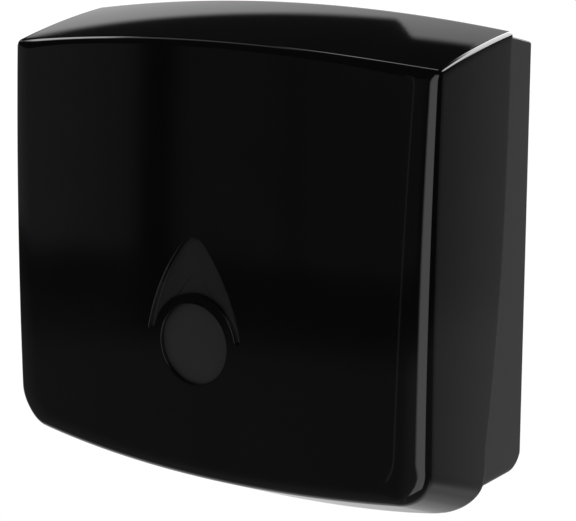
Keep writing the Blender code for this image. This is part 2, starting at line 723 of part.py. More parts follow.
def stack_guide(side, word):
    """Upright side guide: a wall, a rear flange with two screw holes and a front lip."""
    satin = material("satin_grey_abs", (0.09, 0.09, 0.095), 0.4)
    low = TRAY_Z + TRAY_T + GAP
    back = -PANEL - BOSS_H - GAP
    wall = sorted((side * GUIDE_X, side * (GUIDE_X + GUIDE_WALL)))
    flange = sorted((side * GUIDE_X, side * 141.0))
    lip = sorted((side * 110.0, side * (GUIDE_X + GUIDE_WALL)))
    obj = store("stack_guide_" + word,
                box((wall[0], STACK_FRONT - GUIDE_WALL, low), (wall[1], back, 240.0)), satin)
    join(obj, box((flange[0], back - GUIDE_WALL, low + 20.0), (flange[1], back, 240.0)))
    join(obj, box((lip[0], STACK_FRONT - GUIDE_WALL, low), (lip[1], STACK_FRONT, 200.0)))
    for x, z in SCREW_SPOTS:
        if x * side > 0.0:
            cut(obj, turned([(1.65, 0.0), (1.65, -20.0)], "Y", (x, 0.0, z), 16))
    return smooth(obj)


def housing_screws():
    """Four screws for the guides and two for the tray."""
    steel = material("zinc_plated_steel", (0.62, 0.62, 0.6), 0.35, 1.0)
    seat = -PANEL - BOSS_H - GAP - 2.2 - GAP
    made = []
    for x, z in SCREW_SPOTS:
        name = "guide_screw_" + ("upper_" if z > 150.0 else "lower_")
        name += "left" if x < 0.0 else "right"
        made.append(screw(name, (x, seat, z), "Y", 1.0, steel, 2.9, 7.2))
    for x, z in TRAY_SPOTS:
        name = "tray_screw_" + ("left" if x < 0.0 else "right")
        made.append(screw(name, (x, seat, z), "Y", 1.0, steel, 2.9, 7.2))
    return made


def hinge_pin(side, word):
    """Steel pin through the tray's cheek into the cover's ear."""
    steel = material("bright_steel", (0.7, 0.7, 0.7), 0.25, 1.0)
    profile = [(PIN_R - 0.5, side * PIN_OUT), (PIN_R, side * (PIN_OUT - 0.6)),
               (PIN_R, side * (BRACKET_IN - GAP)), (PIN_R + 1.5, side * (BRACKET_IN - GAP)),
               (PIN_R + 1.5, side * PIN_IN)]
    pin = store("hinge_pin_" + word, turned(profile, "X", (0.0, PIVOT_Y, PIVOT_Z), 24), steel)
    return smooth(pin)


# ---------------------------------------------------------------- lock

def lock_body():
    """Die-cast lock case that drops through the housing's top wall."""
    chrome = material("chromed_zinc", (0.75, 0.75, 0.75), 0.15, 1.0)
    top = LOCK_TOP
    profile = [(9.0, top + 1.5), (10.0, top + 0.9), (10.0, top + GAP), (LOCK_R, top + GAP),
               (LOCK_R, top - 18.0)]
    case = store("lock_body", turned(profile, "Z", (0.0, LOCK_Y, 0.0), 32), chrome)
    cut(case, turned([(5.3, top + 4.0), (5.3, top - 20.0)], "Z", (0.0, LOCK_Y, 0.0), 32))
    return smooth(case)


def lock_nut():
    """Thin hexagon nut that clamps the lock case from below."""
    chrome = material("chromed_zinc", (0.75, 0.75, 0.75), 0.15, 1.0)
    top = LOCK_TOP - SHELL_WALL - GAP
    turn = [(11.0 * math.cos(math.radians(60.0 * k)),
             LOCK_Y + 11.0 * math.sin(math.radians(60.0 * k))) for k in range(6)]
    nut = store("lock_nut", prism(turn, "Z", top - 3.5, top - 0.4), chrome)
    cut(nut, turned([(LOCK_R + GAP, top + 2.0), (LOCK_R + GAP, top - 8.0)], "Z",
                    (0.0, LOCK_Y, 0.0), 32))
    return nut


def lock_barrel():
    """Turning plug with its keyway; its square tail drives the cam."""
    chrome = material("chromed_zinc", (0.75, 0.75, 0.75), 0.15, 1.0)
    top = LOCK_TOP
    low = top - 18.0 - 1.0
    origin = (0.0, LOCK_Y, 0.0)
    plug = store("lock_barrel", turned([(5.2, top + 1.2), (5.2, low)], "Z", origin, 32), chrome)
    join(plug, box((-3.0, LOCK_Y - 3.0, low - 3.0), (3.0, LOCK_Y + 3.0, low + 1.0)))
    cut(plug, box((-3.4, LOCK_Y - 0.6, top - 9.0), (3.4, LOCK_Y + 0.6, top + 3.0)))
    cut(plug, turned([(1.65, low - 4.0), (1.65, low + 6.0)], "Z", origin, 16))
    return smooth(plug)


def lock_cam():
    """Hooked steel cam; stored turned aside, so the cover is free to open."""
    steel = material("zinc_plated_steel", (0.62, 0.62, 0.6), 0.35, 1.0)
    high = LOCK_TOP - 18.0 - 1.0 - GAP
    low = high - 2.0
    outline = []
    for k in range(13):
        a = math.pi / 2.0 + math.pi * k / 12
        outline.append((6.5 * math.cos(a), LOCK_Y + 6.5 * math.sin(a)))
    outline += [(25.0, LOCK_Y - 6.0), (25.0, LOCK_Y + 6.0)]
    cam = store("lock_cam", prism(outline, "Z", low, high), steel)
    join(cam, box((22.6, LOCK_Y - 6.0, low + 0.5), (25.0, LOCK_Y + 6.0, high + 5.0)))
    cut(cam, box((-3.1, LOCK_Y - 3.1, low - 1.0), (3.1, LOCK_Y + 3.1, high + 1.0)))
    return cam


def cam_screw():
    """Screw that holds the cam on the plug's tail."""
    steel = material("zinc_plated_steel", (0.62, 0.62, 0.6), 0.35, 1.0)
    low = LOCK_TOP - 18.0 - 1.0 - 3.0 - GAP
    return screw("cam_screw", (0.0, LOCK_Y, low), "Z", 1.0, steel, 4.2, 5.5)


def set_origin(obj, point):
    """Move an object's origin to a point in millimetres and leave its mesh in place."""
    place = (Vector(point) - Vector((0.0, 0.0, DATUM_Z))) * MM
    obj.data.transform(Matrix.Translation(-place))
    obj.location = place


def main():
    """Build every piece and put the moving ones' origins on their joint axes."""
    clear_scene()
    hinge = (0.0, PIVOT_Y, PIVOT_Z)
    lock = (0.0, LOCK_Y, BACK_Z)
    swinging = [front_cover(), window_lens(), roundel_disc(), lens_retainer(), strike_plate()]
    swinging += retainer_screws() + strike_screws()
    for piece in swinging:
        set_origin(piece, hinge)
    back_housing()
    napkin_tray()
    throat_insert()
    stack_guide(-1.0, "left")
    stack_guide(1.0, "right")
    housing_screws()
    hinge_pin(-1.0, "left")
    hinge_pin(1.0, "right")
    lock_body()
    lock_nut()
    for piece in (lock_barrel(), lock_cam(), cam_screw()):
        set_origin(piece, lock)


main()
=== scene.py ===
"""A wall-hung dispenser for folded napkins: gloss cover, satin housing, and what they hold.

Lengths are in millimetres and become metres when a mesh is stored. Heights count from
158 mm below the middle of the back face, which is the frame's zero.
"""
import math

import bmesh
import bpy
import numpy as np
from mathutils import Matrix, Vector


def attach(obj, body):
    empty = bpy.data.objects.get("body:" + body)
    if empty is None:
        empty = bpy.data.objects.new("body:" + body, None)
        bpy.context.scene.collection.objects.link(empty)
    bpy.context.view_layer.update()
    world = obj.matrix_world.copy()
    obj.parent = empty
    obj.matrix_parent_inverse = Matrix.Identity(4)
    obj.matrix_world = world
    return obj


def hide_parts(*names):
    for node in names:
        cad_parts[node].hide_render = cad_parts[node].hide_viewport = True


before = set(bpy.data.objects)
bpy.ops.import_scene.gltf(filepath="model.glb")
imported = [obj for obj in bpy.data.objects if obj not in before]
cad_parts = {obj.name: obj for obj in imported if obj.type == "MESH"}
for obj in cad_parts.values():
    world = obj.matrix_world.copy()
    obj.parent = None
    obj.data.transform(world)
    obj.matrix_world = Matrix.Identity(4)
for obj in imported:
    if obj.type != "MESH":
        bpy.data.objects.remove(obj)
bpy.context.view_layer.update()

# ---------------------------------------------------------------- studio
# A product studio's white sweep: pale floor, bright back wall, a tall softbox at the
# right, a ceiling panel, and a dark room in front that the gloss cover mirrors.

MM = 0.001
DATUM = 158.0
scene = bpy.context.scene
scene.view_settings.view_transform = "Standard"

AIM = Vector((30.33, -73.16, 146.88 - DATUM)) * MM
CAMERA_AZIMUTH = math.radians(35.07)
CAMERA_ELEVATION = math.radians(12.2)
CAMERA_REACH = 1085.8 * MM
toward_camera = Vector((math.sin(CAMERA_AZIMUTH) * math.cos(CAMERA_ELEVATION),
                        -math.cos(CAMERA_AZIMUTH) * math.cos(CAMERA_ELEVATION),
                        math.sin(CAMERA_ELEVATION)))
camera = bpy.data.objects.new("camera", bpy.data.cameras.new("camera"))
camera.data.sensor_width = 36.0
camera.data.lens = 115.0
camera.data.clip_start = 0.05
camera.data.clip_end = 50.0
camera.location = AIM + toward_camera * CAMERA_REACH
camera.rotation_mode = "QUATERNION"
camera.rotation_quaternion = (-toward_camera).to_track_quat("-Z", "Y")
scene.collection.objects.link(camera)
scene.camera = camera


def node_chain(tree):
    """Short makers for one shader tree: add a node, and put a value or a link in a socket."""
    def add(kind, **settings):
        node = tree.nodes.new(kind)
        for key, value in settings.items():
            setattr(node, key, value)
        return node

    def feed(node, socket, source):
        if isinstance(source, bpy.types.NodeSocket):
            tree.links.new(source, node.inputs[socket])
        else:
            node.inputs[socket].default_value = source

    def maths(operation, a, b=0.0):
        node = add("ShaderNodeMath", operation=operation)
        feed(node, 0, a)
        feed(node, 1, b)
        return node.outputs[0]

    def plus(a, b):
        return maths("ADD", a, b)

    def times(a, b):
        return maths("MULTIPLY", a, b)

    def step(value, low, high):
        node = add("ShaderNodeMapRange", interpolation_type="SMOOTHSTEP")
        feed(node, "Value", value)
        feed(node, "From Min", low)
        feed(node, "From Max", high)
        return node.outputs[0]

    return add, feed, maths, plus, times, step


DEGREES = 57.29578


def light_the_room():
    """World light: even white on rough surfaces and to the eye; in mirror-like surfaces a
    dim room with a white sweep behind, one tall softbox at the right and two small panels.

    Each panel is a patch of direction with soft edges: compass bearing in degrees from the
    front toward the right, and height in degrees above the horizon.
    """
    world = bpy.data.worlds.new("studio")
    scene.world = world
    world.use_nodes = True
    tree = world.node_tree
    tree.nodes.clear()
    add, feed, maths, plus, times, step = node_chain(tree)
    split = add("ShaderNodeSeparateXYZ")
    feed(split, 0, add("ShaderNodeTexCoord").outputs["Generated"])
    x, y, z = split.outputs
    bearing = times(maths("ARCTAN2", x, times(y, -1.0)), DEGREES)
    height = times(maths("ARCSINE", z), DEGREES)

    def band(value, low, high, soft):
        rise = step(value, low - soft, low + soft)
        fall = step(value, high - soft, high + soft)
        return times(rise, maths("SUBTRACT", 1.0, fall))

    def panel(sides, heights, soft, strength):
        patch = times(band(bearing, *sides, soft), band(height, *heights, soft))
        return times(patch, strength)

    # the sweep behind at the left ends along a sloping line, higher past its join
    line = plus(times(bearing, -0.55), -59.3)
    past = step(bearing, -148.1, -148.7)
    line = plus(line, times(past, 7.2))
    under = maths("SUBTRACT", line, height)
    sweep = times(step(under, -1.4, 1.4), band(bearing, -179.9, -112.0, 6.0))
    sweep = times(sweep, times(step(height, -60.0, -20.0), 0.74))
    # the room in front: dim, a little lighter at the left, a dark skirting line, pale floor
    front = plus(times(step(bearing, -36.0, -58.0), 0.07), 0.058)
    upper = step(height, -15.8, -14.0)
    door = times(band(bearing, -44.2, -39.8, 1.9), upper)
    edge = times(band(bearing, -27.6, -26.0, 1.6), 0.4)
    line_dark = times(band(height, -12.4, -9.8, 0.9), 0.8)
    for dark in (door, edge, line_dark):
        front = times(front, maths("SUBTRACT", 1.0, dark))
    front = times(front, band(height, -12.0, 12.0, 3.0))
    low = times(step(height, -12.5, -15.0), 0.07)
    near = plus(times(step(bearing, -6.0, 10.0), 0.10), 0.012)
    near = times(near, step(height, -13.0, -15.5))
    low = plus(low, times(near, band(bearing, -90.0, 13.0, 4.0)))
    low = plus(low, times(step(height, -40.0, -75.0), 0.12))
    behind = times(step(y, 0.0, 0.3), 0.55)
    low = plus(low, times(step(height, -28.0, -50.0), behind))
    room = plus(times(front, band(bearing, -100.0, 8.0, 4.0)), low)
    room = plus(room, sweep)
    side = times(step(bearing, 148.6, 153.2), 0.26)
    side = plus(side, 0.10)
    side = times(side, band(bearing, 128.0, 179.9, 3.0))
    room = plus(room, times(side, band(height, -40.0, 8.0, 5.0)))
    # the softbox, a thin upright gleam, and the ceiling and side panels
    for sides, heights, soft, strength in (
            ((13.0, 52.0), (-55.0, 35.0), 1.5, 1.78), ((-13.4, -11.8), (-26.0, 30.0), 0.8, 0.22),
            ((146.0, 179.0), (15.0, 46.0), 2.0, 9.0), ((-112.0, -88.0), (30.0, 42.5), 1.6, 4.0),
            ((-112.0, -88.0), (42.5, 62.0), 1.6, 0.6), ((-150.0, -126.0), (50.3, 60.0), 0.8, 3.0),
            ((-179.5, -163.0), (23.0, 46.0), 2.0, 9.0)):
        room = plus(room, panel(sides, heights, soft, strength))
    room = plus(room, 0.015)
    mirror = add("ShaderNodeBackground")
    feed(mirror, "Strength", room)
    plain = add("ShaderNodeBackground")
    feed(plain, "Color", (1.0, 1.0, 1.0, 1.0))
    feed(plain, "Strength", 1.06)
    mix = add("ShaderNodeMixShader")
    feed(mix, 0, add("ShaderNodeLightPath").outputs["Is Glossy Ray"])
    tree.links.new(plain.outputs[0], mix.inputs[1])
    tree.links.new(mirror.outputs[0], mix.inputs[2])
    out = add("ShaderNodeOutputWorld")
    tree.links.new(mix.outputs[0], out.inputs[0])


light_the_room()


def lay_floor():
    """A round pale floor well below the dispenser, which hangs."""
    grid = bmesh.new()
    bmesh.ops.create_circle(grid, cap_ends=True, radius=6.0, segments=96)
    mesh = bpy.data.meshes.new("floor")
    grid.to_mesh(mesh)
    grid.free()
    mesh.transform(Matrix.Translation((0.0, 0.0, -0.45)))
    floor = bpy.data.objects.new("floor", mesh)
    scene.collection.objects.link(floor)
    paint = bpy.data.materials.new("floor_paper")
    paint.use_nodes = True
    shader = paint.node_tree.nodes["Principled BSDF"]
    shader.inputs["Base Color"].default_value = (0.98, 0.98, 0.98, 1.0)
    shader.inputs["Roughness"].default_value = 0.9
    floor.data.materials.append(paint)
    floor.visible_glossy = False


lay_floor()

# ---------------------------------------------------------------- front cover
# One injection moulding in high-gloss black ABS, 2.6 mm thick: bowed face, crowned top,
# plain sides and a falling underside, with two openings cut by the mould in the face.

HALF_W = 151.5
SIDE_DEPTH = 108.5
LEAN = 6.5
BELLY = 2.5
BOW = 11.897
BOW_LOSS = 1.1
LIP_Z = 22.1
LIP_RISE = 8.8
CREASE_Z = 268.2
BACK_Z = 284.2
CROWN = 10.07
TOP_SWELL = 1.6
UNDER_SLOPE = 0.42
SIDE_EASE = 0.05
FOOT_R = 22.3
FOOT_X = 129.3
FOOT_Z = 50.9
TOP_R = 3.0
COVER_WALL = 2.6
TOP_BACK_Y = -27.4
FRAME_X = 43.0
FRAME_LEVELS = (82.0, 152.0)
STRIKE_X = 9.0
STRIKE_Y = -41.0
PIVOT_Y = -72.0
PIVOT_Z = 35.8
PIVOT_R = 25.2
DISC_Z = 102.5
DISC_R = 24.0
ARCH_R = 30.3
TIP_Z = 109.0
TIP_X = 33.4
PEAK_Z = 165.5
PEAK_R = 10.4


def strung(*runs):
    """Runs of points or values, one after another."""
    return np.concatenate(runs)


def steps(count):
    """Even steps from 0 to 1."""
    return np.linspace(0.0, 1.0, count)


def quarter(count):
    """Angles from 0 to a right angle."""
    return np.linspace(0.0, math.pi / 2.0, count)


def arc(start, stop, count):
    """Points (cos, sin) of a unit circle between two angles."""
    a = np.linspace(start, stop, count)
    return np.stack([np.cos(a), np.sin(a)], -1)


def circle(count):
    """All the way round a unit circle, from the right and anticlockwise."""
    return arc(0.0, 2.0 * math.pi, count + 1)[:-1]


def share(value):
    """A value held between 0 and 1."""
    return np.clip(value, 0.0, 1.0)


def stand(plan, height, axis):
    """Plan points and their heights as 3-D points, the heights along the named axis."""
    parts = [plan[..., 0], plan[..., 1]]
    parts.insert("XYZ".index(axis), np.broadcast_to(height, plan.shape[:-1]))
    return np.stack(parts, -1)


def lathe(profile, axis, sign, count):
    """Turned surface: each (radius, height) of a profile swept round an axis, the circle
    given by radius x (cos, sin); sign mirrors it along the axis."""
    r, h = np.array(profile, float).T
    return stand(r[:, None, None] * circle(count), h[:, None] * sign, axis)


CRISP = math.radians(40.0)


def store(name, points, faces):
    """Put an (n, 3) array of millimetre points and its faces into one mesh object; edges
    over 40 degrees and the rims of many-sided ends stay crisp."""
    mesh = bpy.data.meshes.new(name)
    spots = np.asarray(points, float) - (0.0, 0.0, DATUM)
    mesh.from_pydata((spots * MM).tolist(), [], faces)
    shell = bmesh.new()
    shell.from_mesh(mesh)
    bmesh.ops.remove_doubles(shell, verts=shell.verts, dist=2e-6)
    bmesh.ops.dissolve_degenerate(shell, edges=shell.edges, dist=1e-7)
    bmesh.ops.recalc_face_normals(shell, faces=shell.faces)
    shell.to_mesh(mesh)
    shell.free()
    sides = np.empty(len(mesh.polygons), np.int32)
    mesh.polygons.foreach_get("loop_total", sides)
    mesh.polygons.foreach_set("use_smooth", sides < 5)
    mesh.set_sharp_from_angle(angle=CRISP)
    piece = bpy.data.objects.new(name, mesh)
    scene.collection.objects.link(piece)
    return piece


def woven(grids):
    """Join (rows, columns, 3) grids, each wrapped round its columns, into points and faces.
    A grid marked True also has its first and last rows filled with one face each."""
    points = []
    faces = []
    start = 0
    for grid, filled in grids:
        rows, columns = grid.shape[:2]
        index = start + np.arange(rows * columns).reshape(rows, columns)
        right = np.roll(index, -1, axis=1)
        quads = np.stack([index[:-1], right[:-1], right[1:], index[1:]], -1)
        points.append(grid.reshape(-1, 3))
        faces += quads.reshape(-1, 4).tolist()
        if filled:
            faces += [index[0].tolist(), index[-1].tolist()]
        start += rows * columns
    return np.concatenate(points), faces


def face_y(x, z):
    """Front face: side depth + lean x t + swell x 4t(1-t) + (bow - loss x t)(1 - q squared)."""
    t = (CREASE_Z - z) / (CREASE_Z - LIP_Z)
    q = x / HALF_W
    bow = BOW - BOW_LOSS * t
    return -(SIDE_DEPTH + LEAN * t + BELLY * 4.0 * t * (1.0 - t) + bow * (1.0 - q * q))


def seam_y(z):
    """Seam in side view: a cubic in height, and below the hinge an arc about its pin."""
    t = 1.0 - z / (BACK_Z + CROWN)
    upper = np.maximum(-(27.4 + 4.5 * t + 25.5 * t ** 3), PIVOT_Y + PIVOT_R)
    drop = np.clip(PIVOT_R ** 2 - (PIVOT_Z - z) ** 2, 0.0, None)
    return np.where(z < PIVOT_Z, PIVOT_Y + np.sqrt(drop), upper)


def front_outline(inset):
    """Closed front outline, anticlockwise from the foot: lip curve, foot arc, side, top arc,
    crest curve, mirrored. Returns x, z and each point's share of the top's rise."""
    run = HALF_W - 20.0
    lean = math.atan(2.0 * LIP_RISE * run / HALF_W ** 2)
    foot_x = run - FOOT_R * math.sin(lean)
    foot_z = LIP_Z + LIP_RISE * (run / HALF_W) ** 2 + FOOT_R * math.cos(lean)
    top_r = max(TOP_R - inset, 0.5)
    top_x = HALF_W - inset - top_r
    top_z = CREASE_Z + CROWN * (1.0 - ((HALF_W - TOP_R) / HALF_W) ** 2) - TOP_R
    foot_r = FOOT_R - inset
    x1 = np.linspace(0.0, foot_x + foot_r * math.sin(lean), 56)[:-1]
    z1 = LIP_Z + LIP_RISE * (x1 / HALF_W) ** 2 + inset
    a = np.linspace(lean - math.pi / 2.0, 0.0, 28)
    x2 = foot_x + (HALF_W - inset - foot_x) * np.cos(a)
    z2 = foot_z + foot_r * np.sin(a)
    z3 = np.linspace(foot_z, top_z, 92)[1:-1]
    x3 = np.full_like(z3, HALF_W - inset)
    b = quarter(11)
    x4 = top_x + top_r * np.cos(b)
    z4 = top_z + top_r * np.sin(b)
    x5 = np.linspace(top_x, 0.0, 56)[1:]
    z5 = CREASE_Z + CROWN * (1.0 - (x5 / HALF_W) ** 2) - inset
    lift = z4[-1] - (CREASE_Z + CROWN * (1.0 - (top_x / HALF_W) ** 2) - inset)
    z5 = z5 + lift * np.exp(-(top_x - x5) / 4.0)
    x = strung(x1, x2, x3, x4, x5)
    z = strung(z1, z2, z3, z4, z5)
    x = strung(x, -x[1:-1][::-1])
    z = strung(z, z[1:-1][::-1])
    top = share((z - foot_z) / (top_z - foot_z))
    return x, z, top


MID_Z = (LIP_Z + CREASE_Z + CROWN) / 2.0
HALF_H = 123.0


def fall(x):
    """Slope of the underside, which eases by the eighth power of the distance to a side."""
    return UNDER_SLOPE - SIDE_EASE * share(np.abs(x) / HALF_W) ** 8


def lifted(x, z, y, front, y_end, top):
    """Height after the top's rise and the underside's fall at depth y behind the front."""
    v = share((y - front) / (y_end - front))
    rise = (BACK_Z - CREASE_Z) * v + TOP_SWELL * 4.0 * v * (1.0 - v)
    return z + top * rise - (1.0 - top) * fall(x) * (y - front)


ROLL_END = math.radians(26.0)


def roll_reach(foot):
    """How far the broad roll reaches in from the outline, across and up the face."""
    return 14.0 + 7.0 * foot, 4.0 + 5.0 * foot


def band(inset, rows, shorten):
    """Edge and sides of one skin, front to back.

    The broad roll sinks with the square of its progress; the tight corner is an arc from
    26 degrees of slope to square, its radius growing from 3.5 at the top to 5.6 at the foot
    and 7 in the foot's arcs; then the wall runs straight back to the seam."""
    x, z, top = front_outline(inset)
    foot = 1.0 - top
    front = face_y(x, z) + inset
    y_end = np.full_like(x, -50.0)
    for _ in range(30):
        full = z + top * (BACK_Z - CREASE_Z) - foot * fall(x) * (y_end - front)
        y_end = 0.5 * (y_end + seam_y(full))
    y_end = np.where(top >= 1.0, TOP_BACK_Y, y_end) - shorten
    side = share(np.abs(x) / HALF_W) ** 8
    heel = share((np.abs(x) - FOOT_X) / FOOT_R)
    heel = (2.0 * heel * share((FOOT_Z - z) / FOOT_R)) ** 2
    corner = np.maximum(3.5 + 2.1 * foot + 1.4 * heel - inset, 1.0)
    deep = side * (2.0 + foot) + (1.0 - side) * (0.5 + 1.5 * foot)
    wide_x, wide_z = roll_reach(foot)
    ease = strung(steps(rows[0]), np.ones(rows[1] - 1))[:, None]
    turn = strung(np.zeros(rows[0]), steps(rows[1])[1:])[:, None]
    a = ROLL_END + (math.pi / 2.0 - ROLL_END) * turn
    short = corner * (1.0 - np.sin(a))
    keep = corner * (1.0 - math.sin(ROLL_END))
    in_x = np.where(turn > 0.0, short, wide_x - (wide_x - keep) * ease)
    in_z = np.where(turn > 0.0, short, wide_z - (wide_z - keep) * ease)
    sink = deep * ease ** 2 + corner * (math.cos(ROLL_END) - np.cos(a))
    px = x * (1.0 - in_x / HALF_W)
    pz = MID_Z + (z - MID_Z) * (1.0 - in_z / HALF_H)
    py = face_y(px, pz) + inset + sink
    roll = np.stack([px, py, lifted(px, pz, front + sink, front, y_end, top)], -1)
    w = steps(rows[2])[1:, None]
    y = py[-1] + (y_end - py[-1]) * w
    wall = np.stack([np.broadcast_to(x, y.shape), y,
                     lifted(np.broadcast_to(x, y.shape), z, y, front, y_end, top)], -1)
    return strung(roll, wall)


def window_loop():
    """The window's outline: tip, side arc, peak arc, side arc, tip, then the lower arch.
    Returns the upper run (right tip to left tip) and the arch (left tip to right tip)."""
    end_z = PEAK_Z - PEAK_R * (1.0 - math.cos(math.radians(50.0)))
    end_x = PEAK_R * math.sin(math.radians(50.0))
    chord = math.hypot(TIP_X - end_x, end_z - TIP_Z)
    middle = math.atan2(end_z - TIP_Z, end_x - TIP_X)
    half = math.radians(13.5)
    arc_r = chord / (2.0 * math.sin(half))
    heading = middle - half
    cx = TIP_X - arc_r * math.sin(heading)
    cz = TIP_Z + arc_r * math.cos(heading)
    begin = heading - math.pi / 2.0
    side = arc(begin, begin + 2.0 * half, 90) * arc_r + (cx, cz)
    peak = arc(begin + 2.0 * half, math.pi / 2.0, 30)[1:] * PEAK_R + (0.0, PEAK_Z - PEAK_R)
    tip_angle = math.asin((TIP_Z - DISC_Z) / ARCH_R)
    inner_x = ARCH_R * math.cos(tip_angle)
    tip_r = (TIP_X - inner_x) / 2.0
    tip = (inner_x + tip_r, TIP_Z)
    tip_out = arc(-math.pi / 2.0, 0.0, 16)[:-1] * tip_r + tip
    right = strung(tip_out, side, peak)
    upper = strung(right, right[:-1][::-1] * (-1.0, 1.0))
    arch = arc(math.pi - tip_angle, tip_angle, 160) * ARCH_R + (0.0, DISC_Z)
    tip_in = arc(-math.pi / 2.0, -math.pi, 16)[:-1] * tip_r + tip
    lower = strung(tip_in * (-1.0, 1.0), arch, tip_in[::-1])
    return upper, lower


def paced(path, count):
    """The same path with a given number of points at even spacing along it."""
    length = strung([0.0], np.cumsum(np.linalg.norm(np.diff(path, axis=0), axis=1)))
    at = np.linspace(0.0, length[-1], count)
    return np.stack([np.interp(at, length, path[:, k]) for k in range(2)], -1)


def outward(loop):
    """Unit normals of a closed anticlockwise loop, pointing out of it."""
    along = np.roll(loop, -1, axis=0) - np.roll(loop, 1, axis=0)
    normal = np.stack([along[:, 1], -along[:, 0]], -1)
    return normal / np.linalg.norm(normal, axis=1)[:, None]


def face_rings(inset, margin):
    """The face as three ruled rings: one about the window, one about the roundel, and one
    from a box about both out to the rolled edge. Returns the plan grids and the two holes."""
    x, z, top = front_outline(inset)
    foot = 1.0 - top
    wide_x, wide_z = roll_reach(foot)
    edge = np.stack([x * (1.0 - wide_x / HALF_W),
                     MID_Z + (z - MID_Z) * (1.0 - wide_z / HALF_H)], -1)
    centre = np.array((0.0, 123.0))
    ray = edge - centre
    box_r = np.minimum(46.0 / np.maximum(np.abs(ray[:, 0]), 1e-9),
                       54.0 / np.maximum(np.abs(ray[:, 1]), 1e-9))
    box = centre + ray * box_r[:, None]
    start = int(np.argmin(np.abs(box[:, 1] - 104.0) + 1e3 * (box[:, 0] < 0.0)))
    box = np.roll(box, -start, axis=0)
    edge = np.roll(edge, -start, axis=0)
    stop = int(np.argmin(np.abs(box[:, 1] - 104.0) + 1e3 * (box[:, 0] > 0.0)))
    over = box[:stop + 1]
    under = strung(box[stop:], box[:1])
    mid_r = (ARCH_R + DISC_R) / 2.0
    tilt = math.asin(1.5 / mid_r)
    t = np.linspace(tilt, math.pi - tilt, 180)
    mid = np.stack([mid_r * np.cos(t), DISC_Z + mid_r * np.sin(t)], -1)
    rung = steps(10)[:, None]
    right = mid[0] + (over[0] - mid[0]) * rung
    left = over[-1] + (mid[-1] - over[-1]) * rung
    a_out = strung(right[:-1], over[:-1], left[:-1], mid[::-1])[:-1]
    upper, arch = window_loop()
    n_up = len(right) - 1 + len(over) - 1 + len(left)
    window = strung(paced(upper, n_up)[:-1], paced(arch, len(mid))[:-1])
    b_out = strung(mid[:-1], left[::-1][:-1], under[:-1], right[::-1][:-1])
    low = len(b_out) - (len(mid) - 1)
    turn = strung(t[:-1], np.linspace(t[-1], 2.0 * math.pi + tilt, low + 1)[:-1])
    disc = np.stack([DISC_R * np.cos(turn), DISC_Z + DISC_R * np.sin(turn)], -1)
    pace = (steps(12) ** 1.5)[:, None, None]
    window_edge = window + outward(window) * margin
    disc_edge = disc + outward(disc) * margin
    a_grid = window_edge + (a_out - window_edge) * pace
    b_grid = disc_edge + (b_out - disc_edge) * pace
    reach = steps(26)[:, None, None]
    c_grid = box + (edge - box) * reach
    return (a_grid, b_grid, c_grid), (window, disc)


def on_face(plan, depth):
    """Lay plan points (x, z) on the face, sunk by a depth."""
    x = plan[..., 0]
    z = plan[..., 1]
    return np.stack([x, face_y(x, z) + depth, z], -1)


def rim_of_hole(loop, radius):
    """Edge of an opening: a quarter-round of the given radius, then a straight wall."""
    angle = quarter(7)
    out = radius * (1.0 - np.sin(angle))
    sink = radius * (1.0 - np.cos(angle))
    out = strung(out, [0.0, 0.0])
    sink = strung(sink, [1.6, COVER_WALL])
    plan = loop + outward(loop) * out[:, None, None]
    return on_face(plan, sink[:, None])


def cover_shell():
    """Outer skin, inner skin 2.6 mm behind it, rims of the openings and the seam edge."""
    round_r = 0.5
    outer, holes = face_rings(0.0, round_r)
    inner, _ = face_rings(COVER_WALL, 0.0)
    grids = [(on_face(plan, 0.0), False) for plan in outer]
    grids += [(on_face(plan, COVER_WALL), False) for plan in inner]
    grids += [(rim_of_hole(loop, round_r), False) for loop in holes]
    outside = band(0.0, (16, 14, 34), round_r)
    inside = band(COVER_WALL, (6, 5, 16), 0.0)
    across = inside[-1] - outside[-1]
    across = across / np.linalg.norm(across, axis=1)[:, None]
    angle = quarter(6)[:, None, None]
    turn = outside[-1] + across * round_r * (1.0 - np.cos(angle))
    turn = turn + np.array((0.0, 1.0, 0.0)) * round_r * np.sin(angle)
    close = np.stack([turn[-1], inside[-1]])
    grids += [(outside, False), (inside, False), (turn, False), (close, False)]
    for side in (-1.0, 1.0):
        ear = lathe([(0.5, 149.2), (8.0, 149.2), (8.0, 139.6), (7.4, 139.0), (3.4, 139.0),
                     (3.1, 139.3), (3.1, 146.4), (0.2, 146.4)], "X", side, 48)
        grids.append((ear + (0.0, PIVOT_Y, PIVOT_Z), True))
        boss = lathe([(0.2, 284.9), (1.7, 284.9), (1.7, 285.3), (3.2, 285.3), (3.6, 285.7),
                      (3.6, 291.4), (0.2, 291.4)], "Z", 1.0, 32)
        grids.append((boss + (side * STRIKE_X, STRIKE_Y, 0.0), True))
        for z in FRAME_LEVELS:
            back = float(face_y(FRAME_X, z)) + COVER_WALL
            post = lathe([(0.2, back - 0.3), (3.6, back - 0.3), (3.6, back + 4.6),
                          (3.2, back + 5.0), (1.7, back + 5.0), (1.7, back + 4.0),
                          (0.2, back + 4.0)], "Y", 1.0, 32)
            grids.append((post + (side * FRAME_X, 0.0, z), True))
    return store("front_cover_shell", *woven(grids))


